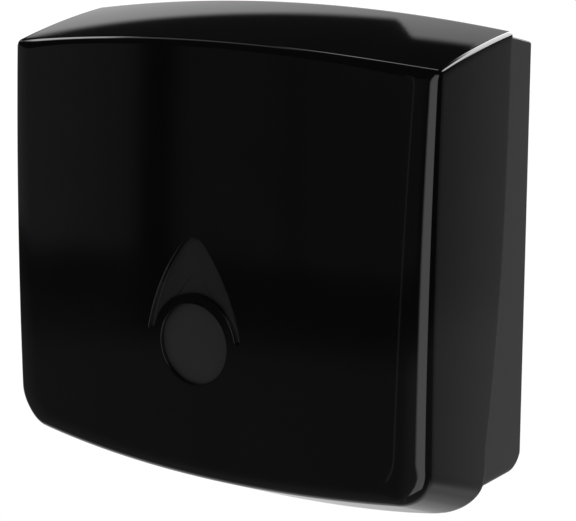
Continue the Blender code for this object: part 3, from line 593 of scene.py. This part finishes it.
class Finish:
    """A new material, with makers for the patterns that this dispenser's finishes share. All
    of them lie on Object coordinates, so a pattern stays with its piece."""

    def __init__(self, name):
        self.material = bpy.data.materials.new(name)
        self.material.use_nodes = True
        self.shader = self.material.node_tree.nodes["Principled BSDF"]
        chain = node_chain(self.material.node_tree)
        self.add, self.feed, self.maths, self.plus, self.times, self.step = chain
        self.place = self.add("ShaderNodeTexCoord").outputs["Object"]

    def look(self, socket, source):
        """Feed one socket of the shader."""
        self.feed(self.shader, socket, source)

    def pattern(self, kind, output, **sockets):
        """Add a node, feed its sockets by name and give back one output."""
        node = self.add(kind)
        for socket, source in sockets.items():
            self.feed(node, socket, source)
        return node.outputs[output]

    def stretched(self, scale, turn=(0.0, 0.0, 0.0)):
        """Coordinates turned and stretched, for lines and rub marks."""
        return self.pattern("ShaderNodeMapping", 0, Vector=self.place, Rotation=turn,
                            Scale=scale)

    def noise(self, scale, detail, where=None):
        """Cloudy noise from 0 to 1."""
        return self.pattern("ShaderNodeTexNoise", "Fac", Vector=where or self.place,
                            Scale=scale, Detail=detail)

    def cells(self, scale):
        """Distance to the nearest of a scatter of points."""
        return self.pattern("ShaderNodeTexVoronoi", "Distance", Vector=self.place, Scale=scale)

    def shades(self, dark, pale, value):
        """Colour that runs from dark to pale along a value."""
        ramp = self.add("ShaderNodeValToRGB")
        ramp.color_ramp.elements[0].color = (*dark, 1.0)
        ramp.color_ramp.elements[1].color = (*pale, 1.0)
        self.feed(ramp, "Fac", value)
        return ramp.outputs["Color"]

    def relief(self, height, strength, distance):
        """Small relief in the surface from a height."""
        self.look("Normal", self.pattern("ShaderNodeBump", "Normal", Height=height,
                                         Strength=strength, Distance=distance))


def gloss_black():
    """High-gloss black ABS: near-black body colour under a mirror skin with faint moulding
    ripple, hairline rub marks and a few dust specks that dull the gloss."""
    use = Finish("gloss_black_abs")
    use.look("Base Color", use.shades((0.0008, 0.0008, 0.0009), (0.0018, 0.0018, 0.0019),
                                      use.noise(22.0, 3.0)))
    rub = use.noise(1.0, 2.0, use.stretched((900.0, 60.0, 30.0), (0.3, 0.5, 0.4)))
    hair = use.step(rub, 0.70, 0.78)
    dust = use.step(use.cells(140.0), 0.055, 0.03)
    dull = use.times(use.noise(9.0, 4.0), 0.03)
    dull = use.plus(dull, use.times(hair, 0.04))
    dull = use.plus(dull, use.times(dust, 0.15))
    use.look("Roughness", use.plus(dull, 0.045))
    use.relief(use.noise(260.0, 1.0), 0.02, 0.0002)
    use.shader.inputs["IOR"].default_value = 1.5
    return use.material


def hand_over(piece, material, body, node):
    """Give a piece its material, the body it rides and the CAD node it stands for."""
    piece.data.materials.append(material)
    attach(piece, body)
    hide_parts(node)


hand_over(cover_shell(), gloss_black(), "cover", "front_cover")

# ---------------------------------------------------------------- window and roundel
# Two pressed inserts seated behind the cover's openings: a smoked polycarbonate window that
# shows the fill level, and a plain dark grey disc where a maker would put a badge.

WINDOW_SEAT = COVER_WALL + 0.3
INSERT_LAP = 2.4


def insert_plate(name, loop, centre, thick, edge):
    """Bowed plate: its outline drawn in to a centre in rings, laid on the face's curve and
    sunk; both rims are quarter rounds, then the back repeats the front."""
    spread = np.linspace(0.02, 1.0, 26)[:, None, None]
    k = quarter(6)[:, None, None]
    inner = loop - outward(loop) * edge
    flat = centre + (inner - centre) * spread
    curl = inner + outward(loop) * edge * np.sin(k)
    plan = strung(flat, curl, curl[::-1], flat[::-1])
    down = edge * (1.0 - np.cos(k[:, 0, 0]))
    depth = strung(np.zeros(26), down, thick - down[::-1], np.full(26, thick))
    return store(name, *woven([(on_face(plan, WINDOW_SEAT + depth[:, None]), True)]))


def smoked(name, low, high, rough, coat):
    """Dark translucent-looking plastic: clouded body colour, a fine moulded grain in the
    surface and handling marks that change the gloss."""
    use = Finish(name)
    cloud = use.noise(45.0, 4.0)
    use.look("Base Color", use.shades((low, low, low * 1.03), (high, high, high * 1.03), cloud))
    use.look("Roughness", use.plus(use.times(cloud, 0.12), rough))
    use.relief(use.noise(2600.0, 2.0), 0.12, 0.0001)
    use.shader.inputs["Coat Weight"].default_value = coat
    use.shader.inputs["Coat Roughness"].default_value = 0.08
    return use.material


window_top, window_arch = window_loop()
window_line = strung(paced(window_top, 200)[:-1], paced(window_arch, 120)[:-1])
window_line = window_line + outward(window_line) * INSERT_LAP
hand_over(insert_plate("window_lens_plate", window_line, np.array((0.0, 147.0)), 2.0, 0.3),
          smoked("smoked_polycarbonate", 0.006, 0.009, 0.16, 0.35), "cover", "window_lens")

disc_line = circle(160) * (DISC_R + INSERT_LAP) + (0.0, DISC_Z)
hand_over(insert_plate("roundel_disc_plate", disc_line, np.array((0.0, DISC_Z)), 2.0, 0.3),
          smoked("dark_grey_abs", 0.010, 0.014, 0.28, 0.15), "cover", "roundel_disc")

# ---------------------------------------------------------------- back housing
# The satin black shell that hangs on the wall, moulded in one piece: a panel with keyholes,
# a rim with a falling crowned top and a rounded heel, ribs, screw bosses and the lock seat.

SHELL_INSET = 2.5
SHELL_WALL = 2.7
PANEL = 3.0
FLOOR_Z = 21.0
CORNER_R = 4.0
BACK_FALL = 0.197
SWING_R = 38.0
HEEL_R = 12.0
HEEL_BLEND = 30.0
HANG_X = 80.0
SLOT_R = 2.4
HEAD_R = 4.75
WELL_R = 8.3
LOCK_Y = -13.0
LOCK_TOP = 286.6
SCREW_SPOTS = [(-134.0, 90.0), (-134.0, 225.0), (134.0, 90.0), (134.0, 225.0)]
TRAY_SPOTS = [(-70.0, 62.0), (70.0, 62.0)]


def shell_loop(inset):
    """Housing outline from the front: floor, foot arcs, sides, small shoulders, crown."""
    half = HALF_W - inset
    foot = FLOOR_Z + inset - SHELL_INSET
    r = CORNER_R - (inset - SHELL_INSET)
    shoulder = 1.4
    side_top = BACK_Z + CROWN * (1.0 - (half / HALF_W) ** 2) - inset - shoulder
    wide = 144.5
    x1 = strung(np.linspace(0.0, wide - 0.02, 30), [wide + 0.02])
    z1 = np.full(31, foot)
    a = np.linspace(-math.pi / 2.0, 0.0, 9)
    x2 = half - r + r * np.cos(a)
    z2 = foot + r + r * np.sin(a)
    z3 = np.linspace(foot + r, side_top, 110)[1:-1]
    x3 = np.full(108, half)
    b = quarter(8)
    x4 = half - shoulder + shoulder * np.cos(b)
    z4 = side_top + shoulder * np.sin(b)
    x5 = np.linspace(half - shoulder, 0.0, 50)[1:]
    z5 = BACK_Z + CROWN * (1.0 - (x5 / HALF_W) ** 2) - inset
    loop = np.stack([strung(x1, x2, x3, x4, x5),
                     strung(z1, z2, z3, z4, z5)], -1)
    return strung(loop, loop[1:-1][::-1] * (-1.0, 1.0))


def housing_front(x, z):
    """Front edge of the housing: 0.3 behind the seam; an arc about the hinge low down, and
    the wider clearance arc along the floor between the side walls."""
    drop = PIVOT_Z - z
    arc = PIVOT_Y + np.sqrt(np.clip((PIVOT_R + 0.3) ** 2 - drop ** 2, 0.0, None))
    wide = PIVOT_Y + np.sqrt(np.clip(SWING_R ** 2 - drop ** 2, 0.0, None))
    low = np.where(np.abs(x) < 144.5, wide, arc)
    return np.where(z < PIVOT_Z, low, seam_y(z) + 0.3)


def shell_skin(inset, back, rows):
    """One skin of the housing, front edge to back: rows that close up toward the rear, then
    (outside only) a rear edge rounded by 3 on top and 1 elsewhere; the top falls back.

    The heel lifts the floor at depth y by r - sqrt(r^2 - (y + 12)^2), and what stands above
    it by a share that fades over 30 mm; the inner skin's r is a wall's thickness less."""
    loop = shell_loop(inset)
    x, z = loop.T
    n = outward(loop)
    rear = (1.0 + 2.0 * share(n[:, 1]) ** 2) * (back == 0.0)
    front = housing_front(x, z)
    w = 1.0 - (1.0 - steps(rows)[:, None]) ** 2
    y = front + (back - rear - front) * w
    draw = np.zeros_like(y)
    if back == 0.0:
        a = quarter(12)[1:, None]
        y = strung(y, back - rear * (1.0 - np.sin(a)))
        draw = strung(draw, rear * (1.0 - np.cos(a)))
    raised = share((z - 200.0) / 70.0)
    px = x - n[:, 0] * draw
    pz = z - n[:, 1] * draw - raised * BACK_FALL * (y - TOP_BACK_Y)
    thinner = inset - SHELL_INSET
    radius = HEEL_R - thinner
    into = np.clip(y + HEEL_R, 0.0, radius)
    lift = radius - np.sqrt(radius ** 2 - into ** 2)
    pz = pz + lift * share(1.0 - (z - FLOOR_Z - thinner) / HEEL_BLEND)
    return np.stack([px, y, pz], -1)


def cut_away(piece, grid):
    """Cut one filled grid out of a piece with an exact Boolean."""
    tool = store("cutter", *woven([(grid, True)]))
    modifier = piece.modifiers.new("cut", "BOOLEAN")
    modifier.solver = "EXACT"
    modifier.object = tool
    graph = bpy.context.evaluated_depsgraph_get()
    mesh = bpy.data.meshes.new_from_object(piece.evaluated_get(graph))
    piece.modifiers.clear()
    piece.data = mesh
    bpy.data.objects.remove(tool, do_unlink=True)


def stadium(cx, cz, half, r, count=24):
    """Closed loop of a slot: two half circles of radius r, their centres 2 x half apart."""
    right = arc(-math.pi / 2.0, math.pi / 2.0, count) * r + (half, 0.0)
    return strung(right, -right) + (cx, cz)


def keyhole():
    """Closed loop of a keyhole about its head's centre: a slot end 11 up, then the head's
    circle of radius 4.75 from one side of the 4.8 neck round to the other."""
    join = math.acos(SLOT_R / HEAD_R)
    end = arc(0.0, math.pi, 20) * SLOT_R + (0.0, 8.6)
    return strung(end, arc(math.pi - join, 2.0 * math.pi + join, 48) * HEAD_R)


def rounded(x0, x1, z0, z1, r, count=6):
    """Closed loop of a rectangle with quarter-circle corners of radius r."""
    bend = arc(0.0, math.pi / 2.0, count) * r
    turned = [bend, bend[:, ::-1] * (-1.0, 1.0), -bend, bend[:, ::-1] * (1.0, -1.0)]
    at = [(x1 - r, z1 - r), (x0 + r, z1 - r), (x0 + r, z0 + r), (x1 - r, z0 + r)]
    return np.concatenate([part + spot for part, spot in zip(turned, at)])


def slab(loop, low, high, edge, axis):
    """Plate between two heights along an axis: the outline drawn in by a quarter circle of
    radius edge at both faces."""
    k = quarter(5)
    inset = edge * (1.0 - np.sin(k))
    rise = edge * (1.0 - np.cos(k))
    inset = strung(inset, inset[::-1])[:, None, None]
    height = strung(low + rise, high - rise[::-1])[:, None]
    return stand(loop - outward(loop) * inset, height, axis)


def housing_shell():
    """Outer and inner skins joined by a rounded front rim; then the cuts and the ribs."""
    outside = shell_skin(SHELL_INSET, 0.0, 40)
    inside = shell_skin(SHELL_INSET + SHELL_WALL, -PANEL, 24)
    lip = inside[0] - outside[0]
    lip = lip / np.linalg.norm(lip, axis=1)[:, None]
    curl = quarter(5)[:, None, None]
    back = np.array((0.0, 0.5, 0.0))
    rim = outside[0] + back * (1.0 - np.sin(curl)) + lip * 0.5 * (1.0 - np.cos(curl))
    outside[0] = rim[0]
    face = np.stack([rim[-1], inside[0]])
    points, faces = woven([(outside, False), (inside, False), (rim, False), (face, False)])
    count = outside.shape[1]
    end = outside.shape[0] * count
    far = end + inside.shape[0] * count
    faces += [list(range(end - count, end)), list(range(far - count, far))]
    shell = store("back_housing_shell", points, faces)
    cuts = []
    for side in (-1.0, 1.0):
        cuts.append(slab(keyhole() + (side * HANG_X, 236.0), -PANEL - 1.0, 1.0, 0.0, "Y"))
        slot = stadium(side * HANG_X, 120.0, 5.0, SLOT_R)
        cuts.append(slab(slot, -PANEL - 1.0, 1.0, 0.0, "Y"))
    well = lathe([(0.2, 300.0), (10.6, 300.0), (10.6, LOCK_TOP), (WELL_R, LOCK_TOP),
                  (WELL_R, 270.0), (0.2, 270.0)], "Z", 1.0, 64)
    cuts.append(well + (0.0, LOCK_Y, 0.0))
    for cut in cuts:
        cut_away(shell, cut)
    extra = []
    for x, z in SCREW_SPOTS + TRAY_SPOTS:
        boss = lathe([(0.2, -3.8), (1.65, -3.8), (1.65, -9.0), (4.1, -9.0), (4.5, -8.6),
                      (4.5, -2.8), (0.2, -2.8)], "Y", 1.0, 32)
        extra.append((boss + (x, 0.0, z), True))
    for x in (-96.0, -32.0, 32.0, 96.0):
        rib = rounded(x - 1.25, x + 1.25, -9.0, -2.8, 0.5)
        extra.append((slab(rib, 80.0, 262.0, 0.4, "Z"), True))
    base = LOCK_TOP - SHELL_WALL
    seat = lathe([(WELL_R, base), (11.1, base), (11.5, base + 0.4), (11.5, LOCK_TOP - 0.4),
                  (10.6, LOCK_TOP), (WELL_R, LOCK_TOP), (WELL_R, base)], "Z", 1.0, 64)
    extra.append((seat + (0.0, LOCK_Y, 0.0), False))
    added = store("housing_extras", *woven(extra))
    joined = bmesh.new()
    joined.from_mesh(shell.data)
    joined.from_mesh(added.data)
    joined.to_mesh(shell.data)
    joined.free()
    bpy.data.objects.remove(added, do_unlink=True)
    shell.data.set_sharp_from_angle(angle=CRISP)
    return shell


def satin(name, low, high, rough, grain_size, depth):
    """Satin ABS as it leaves a spark-eroded mould: fine pebble grain, slow shifts of tone
    and gloss, rubbed patches and a few pale scuffs."""
    use = Finish(name)
    cloud = use.noise(14.0, 5.0)
    rub = use.noise(1.0, 2.0, use.stretched((700.0, 55.0, 40.0), (0.7, 0.2, 0.9)))
    scuff = use.step(rub, 0.72, 0.8)
    tone = use.plus(cloud, use.times(scuff, 0.5))
    use.look("Base Color", use.shades((low, low, low), (high, high, high), tone))
    gloss = use.plus(use.times(cloud, 0.14), rough)
    use.look("Roughness", use.maths("SUBTRACT", gloss, use.times(scuff, 0.1)))
    use.relief(use.cells(grain_size), depth, 0.0001)
    return use.material


hand_over(housing_shell(), satin("satin_black_abs", 0.023, 0.031, 0.34, 1900.0, 0.25),
          "housing", "back_housing")

# ---------------------------------------------------------------- retaining frame
# A matte black moulded frame that four wide-headed screws clamp against the window and the
# roundel from behind. Its two openings let light through to the stack.

def softened(node, name, width):
    """The frame's outline has two openings and four screw holes, which no single grid
    follows, so this piece is the CAD node's mesh with merged triangles and rounded edges."""
    source = bpy.data.objects[node]
    shape = bmesh.new()
    shape.from_mesh(source.data)
    shape.transform(source.matrix_world)
    bmesh.ops.remove_doubles(shape, verts=shape.verts, dist=2e-6)
    bmesh.ops.dissolve_limit(shape, angle_limit=math.radians(1.0), verts=shape.verts,
                             edges=shape.edges)
    edges = [e for e in shape.edges if e.is_manifold and e.calc_face_angle() > 0.7]
    bmesh.ops.bevel(shape, geom=edges, offset=width * MM, segments=3, profile=0.5,
                    affect="EDGES", clamp_overlap=True)
    mesh = bpy.data.meshes.new(name)
    shape.to_mesh(mesh)
    shape.free()
    mesh.polygons.foreach_set("use_smooth", [True] * len(mesh.polygons))
    mesh.set_sharp_from_angle(angle=math.radians(30.0))
    piece = bpy.data.objects.new(name, mesh)
    scene.collection.objects.link(piece)
    return piece


hand_over(softened("lens_retainer", "lens_retainer_frame", 0.3),
          satin("matte_black_abs", 0.016, 0.024, 0.5, 1500.0, 0.35), "cover", "lens_retainer")

# ---------------------------------------------------------------- screws
# Zinc-plated pan-head screws with a cross recess and a coarse rolled thread: four wide ones
# on the frame, two under the strike plate, four in the guides, two in the tray, one in the
# cam.

SIDES = ((-1.0, "left"), (1.0, "right"))
AXES = {"X": [1, 2, 0], "Y": [0, 2, 1], "Z": [0, 1, 2]}
SHANK_R = 1.35


def screw_grid(head_r, reach, axis, sign, spot):
    """Screw as one grid, round by along: a domed head of height 2.1 sqrt(1 - p^4) with a
    cross cut by the distance to its arms, a flat seat, then a shank whose radius follows a
    triangle wave of (height / pitch - turn), ending in a cone."""
    turn = np.linspace(0.0, 2.0 * math.pi, 72, endpoint=False)
    p = np.linspace(0.02, 1.0, 30)[:, None]
    r = head_r * p
    u = np.abs(r * np.cos(turn))
    v = np.abs(r * np.sin(turn))
    arm = np.minimum(0.42 - np.minimum(u, v), 1.75 - np.maximum(u, v))
    cut = share(arm / 0.22 + 0.5)
    h = -0.25 - 1.85 * np.sqrt(share(1.0 - p ** 4)) + 1.1 * cut
    head = np.stack([r * np.cos(turn), r * np.sin(turn), np.broadcast_to(h, u.shape)], -1)
    seat = np.array([(head_r, -0.1), (head_r - 0.1, 0.0), (SHANK_R, 0.0)])
    run = np.linspace(0.0, reach - 1.0, int(reach * 8))
    wave = np.abs((run[:, None] / 1.1 - turn / (2.0 * math.pi)) % 1.0 - 0.5) * 2.0
    fade = share(run[:, None] / 0.8)
    thread = SHANK_R * (1.0 - 0.24 * (1.0 - wave) * fade)
    cone = np.linspace(1.0, 0.15, 6)[:, None] * thread[-1]
    tip = np.broadcast_to(reach - 1.0 + steps(6)[:, None], cone.shape)
    r = strung(np.broadcast_to(seat[:, :1], (3, 72)), thread, cone)
    h = np.concatenate([np.broadcast_to(seat[:, 1:], (3, 72)),
                        np.broadcast_to(run[:, None], thread.shape), tip])
    body = np.stack([r * np.cos(turn), r * np.sin(turn), h], -1)
    grid = strung(head, body)
    grid[..., 2] *= sign
    place = np.empty_like(grid)
    place[..., AXES[axis]] = grid
    return place + spot


def metal(name, low, high, rough, brush):
    """Bare or plated metal: tone and gloss wander with cloudy handling marks, fine drawn
    lines run through it and small dark pits sit in the plating."""
    use = Finish(name)
    cloud = use.noise(180.0, 5.0)
    tone = use.shades((low, low, low * 0.98), (high, high, high * 0.96), cloud)
    pit = use.step(use.cells(900.0), 0.16, 0.08)
    darker = use.add("ShaderNodeMix", data_type="RGBA")
    use.feed(darker, 0, use.times(pit, 0.5))
    use.feed(darker, 6, tone)
    darker.inputs[7].default_value = (0.12, 0.115, 0.1, 1.0)
    use.look("Base Color", darker.outputs[2])
    use.shader.inputs["Metallic"].default_value = 1.0
    gloss = use.plus(use.times(cloud, 0.16), rough)
    use.look("Roughness", use.plus(gloss, use.times(pit, 0.2)))
    use.relief(use.noise(1.0, 3.0, use.stretched(brush)), 0.18, 0.0001)
    return use.material


zinc = metal("zinc_plated_steel", 0.50, 0.64, 0.24, (900.0, 900.0, 900.0))
GUIDE_SEAT = -PANEL - 6.0 - 0.3 - 2.2 - 0.3
screws = []
for side, word in SIDES:
    for z, level in zip(FRAME_LEVELS, ("lower", "upper")):
        seat = float(face_y(FRAME_X, z)) + COVER_WALL + 5.3
        screws.append(("retainer_screw_" + level + "_" + word, "cover",
                       screw_grid(4.8, 4.6, "Y", -1.0, (side * FRAME_X, seat, z))))
    for z, level in ((90.0, "lower"), (225.0, "upper")):
        screws.append(("guide_screw_" + level + "_" + word, "housing",
                       screw_grid(2.9, 7.0, "Y", 1.0, (side * 134.0, GUIDE_SEAT, z))))
    screws.append(("tray_screw_" + word, "housing",
                   screw_grid(2.9, 7.0, "Y", 1.0, (side * 70.0, GUIDE_SEAT, 62.0))))
    screws.append(("strike_screw_" + word, "cover",
                   screw_grid(2.9, 5.2, "Z", 1.0, (side * STRIKE_X, STRIKE_Y, 282.7))))
CAM_LOW = LOCK_TOP - 22.3
screws.append(("cam_screw", "lock",
               screw_grid(4.2, 5.5, "Z", 1.0, (0.0, LOCK_Y, CAM_LOW))))
for node, body, grid in screws:
    hand_over(store(node + "_turned", *woven([(grid, True)])), zinc, body, node)

# ---------------------------------------------------------------- strike plate
# Bent from 2 mm zinc-plated strip under the cover's top: a flat leg on two bosses and a
# hanging leg that the lock's cam hooks behind.

def strike_strip():
    """Strip carried along a bent centre line: straight, a quarter bend of radius 1.4, then
    straight down; its section is a rounded rectangle 2 thick, narrowing past the bend."""
    bend = np.linspace(math.pi / 2.0, 0.0, 10)
    y = strung([-46.7, -46.4, -30.0], -29.0 + 1.4 * np.cos(bend))
    z = strung([284.0, 284.0, 284.0], 282.6 + 1.4 * np.sin(bend))
    y = strung(y, [-27.6, -27.6, -27.6])
    z = strung(z, [276.0, 269.1, 268.8])
    half = strung([13.6, 14.0, 14.0], np.linspace(14.0, 9.0, 10), [9.0, 9.0, 8.6])
    thick = strung([0.7, 1.0], np.full(len(y) - 4, 1.0), [1.0, 0.7])
    tangent = np.gradient(np.stack([y, z], -1), axis=0)
    tangent /= np.linalg.norm(tangent, axis=1)[:, None]
    section = rounded(-1.0, 1.0, -1.0, 1.0, 0.35)
    across = section[:, 0] * half[:, None]
    through = section[:, 1] * thick[:, None]
    gy = y[:, None] + tangent[:, 1:] * through
    gz = z[:, None] - tangent[:, :1] * through
    return np.stack([across, gy, gz], -1)


strike = store("strike_plate_strip", *woven([(strike_strip(), True)]))
for side in (-1.0, 1.0):
    cut_away(strike, slab(stadium(side * STRIKE_X, STRIKE_Y, 0.0, 1.7), 270.0, 290.0, 0.0, "Z"))
hand_over(strike, metal("zinc_plated_strip", 0.50, 0.64, 0.28, (2500.0, 60.0, 60.0)),
          "cover", "strike_plate")

# ---------------------------------------------------------------- napkin tray and throat
# The tray is moulded in satin grey ABS: a floor on which the stack stands, a low front lip,
# a rear flange for two screws and two cheeks that hold the hinge pins. A smooth white
# acetal collar lines the slot that a napkin is pulled through.

TRAY_Z = 49.0
TRAY_T = 2.5
THROAT_Y = -60.0
THROAT_HALF = 59.0
FLANGE = (-11.5, -9.3)


def ring_slab(outer, hole, low, high, edge, axis):
    """Plate with one opening: both loops keep the same count of points, so straight rungs
    join them on each face and the rims are quarter rounds."""
    k = quarter(5)
    back = edge * (1.0 - np.sin(k))
    rise = edge * (1.0 - np.cos(k))
    draw = strung(back, back[::-1])[:, None, None]
    height = strung(low + rise, high - rise[::-1])
    rim = outer - outward(outer) * draw
    well = hole + outward(hole) * draw
    plan = strung(rim, well[::-1], rim[:1])
    return stand(plan, strung(height, height[::-1], height[:1])[:, None], axis)


def from_right(loop, count):
    """The loop again with a given count of even steps, starting at its right-hand end."""
    start = int(np.argmax(loop[:, 0] - 1e-3 * np.abs(loop[:, 1] - loop[:, 1].mean())))
    loop = np.roll(loop, -start, axis=0)
    return paced(strung(loop, loop[:1]), count + 1)[:-1]


def tray_parts():
    """Floor, lip, rear flange and two cheeks with their pin bores, each a rounded plate."""
    top = TRAY_Z + TRAY_T
    floor = from_right(rounded(-136.5, 136.5, -104.0, -3.6, 2.0), 320)
    slot = from_right(stadium(0.0, THROAT_Y, THROAT_HALF, 16.0), 320)
    parts = [(ring_slab(floor, slot, TRAY_Z, top, 0.6, "Z"), False)]
    lip = rounded(-118.0, 118.0, TRAY_Z + 1.0, top + 8.0, 1.2)
    parts.append((slab(lip, -104.0, -101.5, 0.8, "Y"), True))
    flange = rounded(-90.0, 90.0, TRAY_Z + 1.0, 70.0, 2.5)
    parts.append((slab(flange, *FLANGE, 0.5, "Y"), True))
    foot = arc(math.pi, 2.0 * math.pi, 30) * 9.0 + (PIVOT_Y, PIVOT_Z)
    cheek = strung([(-30.0, TRAY_Z + 1.0), (-100.0, TRAY_Z + 1.0)], foot)
    cheek = from_right(cheek, 120)
    bore = circle(120) * 3.1 + (PIVOT_Y, PIVOT_Z)
    for side in (-1.0, 1.0):
        low, high = sorted((side * 131.0, side * 136.5))
        parts.append((ring_slab(cheek, bore, low, high, 0.6, "X"), False))
    return parts


grey = satin("satin_grey_abs", 0.075, 0.105, 0.4, 1700.0, 0.22)
tray = store("napkin_tray_moulding", *woven(tray_parts()))
hand_over(tray, grey, "housing", "napkin_tray")


def collar():
    """Collar round the slot: a section walked from the flange's rim over a rounded lip and
    down the throat, carried round the slot as an outward offset of its loop."""
    top = TRAY_Z + TRAY_T
    loop = from_right(stadium(0.0, THROAT_Y, THROAT_HALF, 15.7), 320)
    a = quarter(8)
    offs = np.concatenate([[5.0], 5.0 - 0.6 * (1.0 - np.cos(a)), -1.3 - 0.9 * np.sin(a),
                           [-2.2, -1.9, -0.3, 0.0, 0.0, 5.0]])
    rise = np.concatenate([[0.3], 1.4 + 0.6 * np.sin(a), 1.1 + 0.9 * np.cos(a),
                           [-11.0, -11.5, -11.5, -11.2, 0.3, 0.3]])
    plan = loop + outward(loop) * offs[:, None, None]
    return stand(plan, (top + rise)[:, None], "Z")


hand_over(store("throat_insert_collar", *woven([(collar(), False)])),
          satin("white_acetal", 0.62, 0.74, 0.3, 1200.0, 0.08), "housing", "throat_insert")

# ---------------------------------------------------------------- stack guides
# Two upright guides in the tray's grey ABS keep the stack square: a wall, a rear flange
# with two screw holes and a front lip. They stand on the tray and screw to the panel.

def guide_parts(side):
    """Wall, flange and lip of one guide as rounded plates; side mirrors them."""
    low = TRAY_Z + TRAY_T + 0.3
    wall = rounded(-100.2, -9.3, low, 240.0, 3.0)
    near, far = sorted((side * 124.0, side * 126.2))
    parts = [(slab(wall, near, far, 0.6, "X"), True)]
    near, far = sorted((side * 124.0, side * 141.0))
    parts.append((slab(rounded(near, far, low + 20.0, 240.0, 2.5), *FLANGE, 0.5, "Y"), True))
    near, far = sorted((side * 110.0, side * 126.2))
    parts.append((slab(rounded(near, far, low, 200.0, 2.5), -100.2, -98.0, 0.6, "Y"), True))
    return parts


for side, word in SIDES:
    guide = store("stack_guide_" + word + "_moulding", *woven(guide_parts(side)))
    hand_over(guide, grey, "housing", "stack_guide_" + word)

# ---------------------------------------------------------------- hinge pins
# Bright turned steel pins with a thin head; each passes through a cheek of the tray into
# an ear of the cover.

bright = metal("bright_steel", 0.56, 0.68, 0.14, (60.0, 2400.0, 2400.0))
for side, word in SIDES:
    pin = lathe([(0.2, 146.0), (2.4, 146.0), (2.9, 145.6), (3.0, 145.2), (3.0, 131.0),
                 (3.05, 130.7), (4.2, 130.7), (4.5, 130.4), (4.5, 129.0), (4.0, 128.5),
                 (0.2, 128.5)], "X", side, 64)
    pin = store("hinge_pin_" + word + "_turned",
                *woven([(pin + (0.0, PIVOT_Y, PIVOT_Z), True)]))
    hand_over(pin, bright, "housing", "hinge_pin_" + word)

# ---------------------------------------------------------------- lock
# A small cam lock dropped through the housing's top: a chromed zinc case with a thin flange,
# a hexagon nut below, a turning plug with a keyway, and a pressed steel cam with a hook.

chrome = metal("chromed_zinc", 0.58, 0.70, 0.08, (400.0, 400.0, 2400.0))
case = [(5.3, LOCK_TOP + 1.2), (5.6, LOCK_TOP + 1.5), (8.8, LOCK_TOP + 1.5),
        (9.6, LOCK_TOP + 1.3), (10.0, LOCK_TOP + 0.9), (10.0, LOCK_TOP + 0.3),
        (8.0, LOCK_TOP + 0.3)]
for k in range(14):
    case += [(8.0, LOCK_TOP - 0.5 - k), (7.6, LOCK_TOP - 1.0 - k)]
case += [(7.6, LOCK_TOP - 17.8), (7.4, LOCK_TOP - 18.0), (5.3, LOCK_TOP - 18.0),
         (5.3, LOCK_TOP + 1.2)]
case = lathe(case, "Z", 1.0, 96) + (0.0, LOCK_Y, 0.0)
hand_over(store("lock_body_case", *woven([(case, False)])), chrome, "housing", "lock_body")

turn = np.linspace(0.0, 2.0 * math.pi, 120, endpoint=False)
swing = (turn + math.pi / 6.0) % (math.pi / 3.0) - math.pi / 6.0
hexagon = 10.9 * math.cos(math.pi / 6.0) / np.cos(np.abs(swing) - math.pi / 6.0)
flats = circle(120) * hexagon[:, None] + (0.0, LOCK_Y)
bore = circle(120) * WELL_R + (0.0, LOCK_Y)
nut_top = LOCK_TOP - SHELL_WALL - 0.3
nut = ring_slab(flats, bore, nut_top - 3.5, nut_top - 0.4, 0.5, "Z")
hand_over(store("lock_nut_hexagon", *woven([(nut, False)])), chrome, "housing", "lock_nut")


def squared(count, half):
    """Loop of a square with soft corners: radius half x (|cos|^12 + |sin|^12)^(-1/12)."""
    c, v = np.abs(circle(count)).T
    return circle(count) * (half * (c ** 12 + v ** 12) ** (-1.0 / 12.0))[:, None]


def plug():
    """Turning plug: a turned barrel with a bevelled rim, then a square tail with soft
    corners; the keyway is a narrow slot cut down from the top."""
    low = LOCK_TOP - 19.0
    rings = [(0.2, LOCK_TOP + 1.2), (4.8, LOCK_TOP + 1.2), (5.2, LOCK_TOP + 0.8), (5.2, low + 0.2),
             (5.0, low)]
    size = np.array((1.0, 1.0, 0.94))[:, None, None]
    height = np.array((low, low - 2.8, low - 3.0))[:, None]
    tail = stand(squared(96, 3.0) * size, height, "Z")
    grid = strung(lathe(rings, "Z", 1.0, 96), tail) + (0.0, LOCK_Y, 0.0)
    piece = store("lock_barrel_plug", *woven([(grid, True)]))
    slot = rounded(-3.4, 3.4, LOCK_Y - 0.6, LOCK_Y + 0.6, 0.4)
    cut_away(piece, slab(slot, LOCK_TOP - 9.0, LOCK_TOP + 3.0, 0.0, "Z"))
    return piece


hand_over(plug(), chrome, "lock", "lock_barrel")


def cam_strip():
    """Cam: a flat arm with a half-round end about the square hole, and a hook bent up from
    its far end, each a rounded plate."""
    high = LOCK_TOP - 19.3
    low = high - 2.0
    end = arc(math.pi / 2.0, 1.5 * math.pi, 40) * 6.5 + (0.0, LOCK_Y)
    arm = strung(end, [(25.0, LOCK_Y - 6.0), (25.0, LOCK_Y + 6.0)])
    arm = from_right(arm, 160)
    hole = squared(160, 3.1) + (0.0, LOCK_Y)
    hook = rounded(22.6, 25.0, LOCK_Y - 6.0, LOCK_Y + 6.0, 0.5)
    return [(ring_slab(arm, hole, low, high, 0.3, "Z"), False),
            (slab(hook, low + 0.5, high + 5.0, 0.4, "Z"), True)]


hand_over(store("lock_cam_pressing", *woven(cam_strip())),
          metal("pressed_steel", 0.48, 0.62, 0.26, (60.0, 1800.0, 60.0)), "lock", "lock_cam")
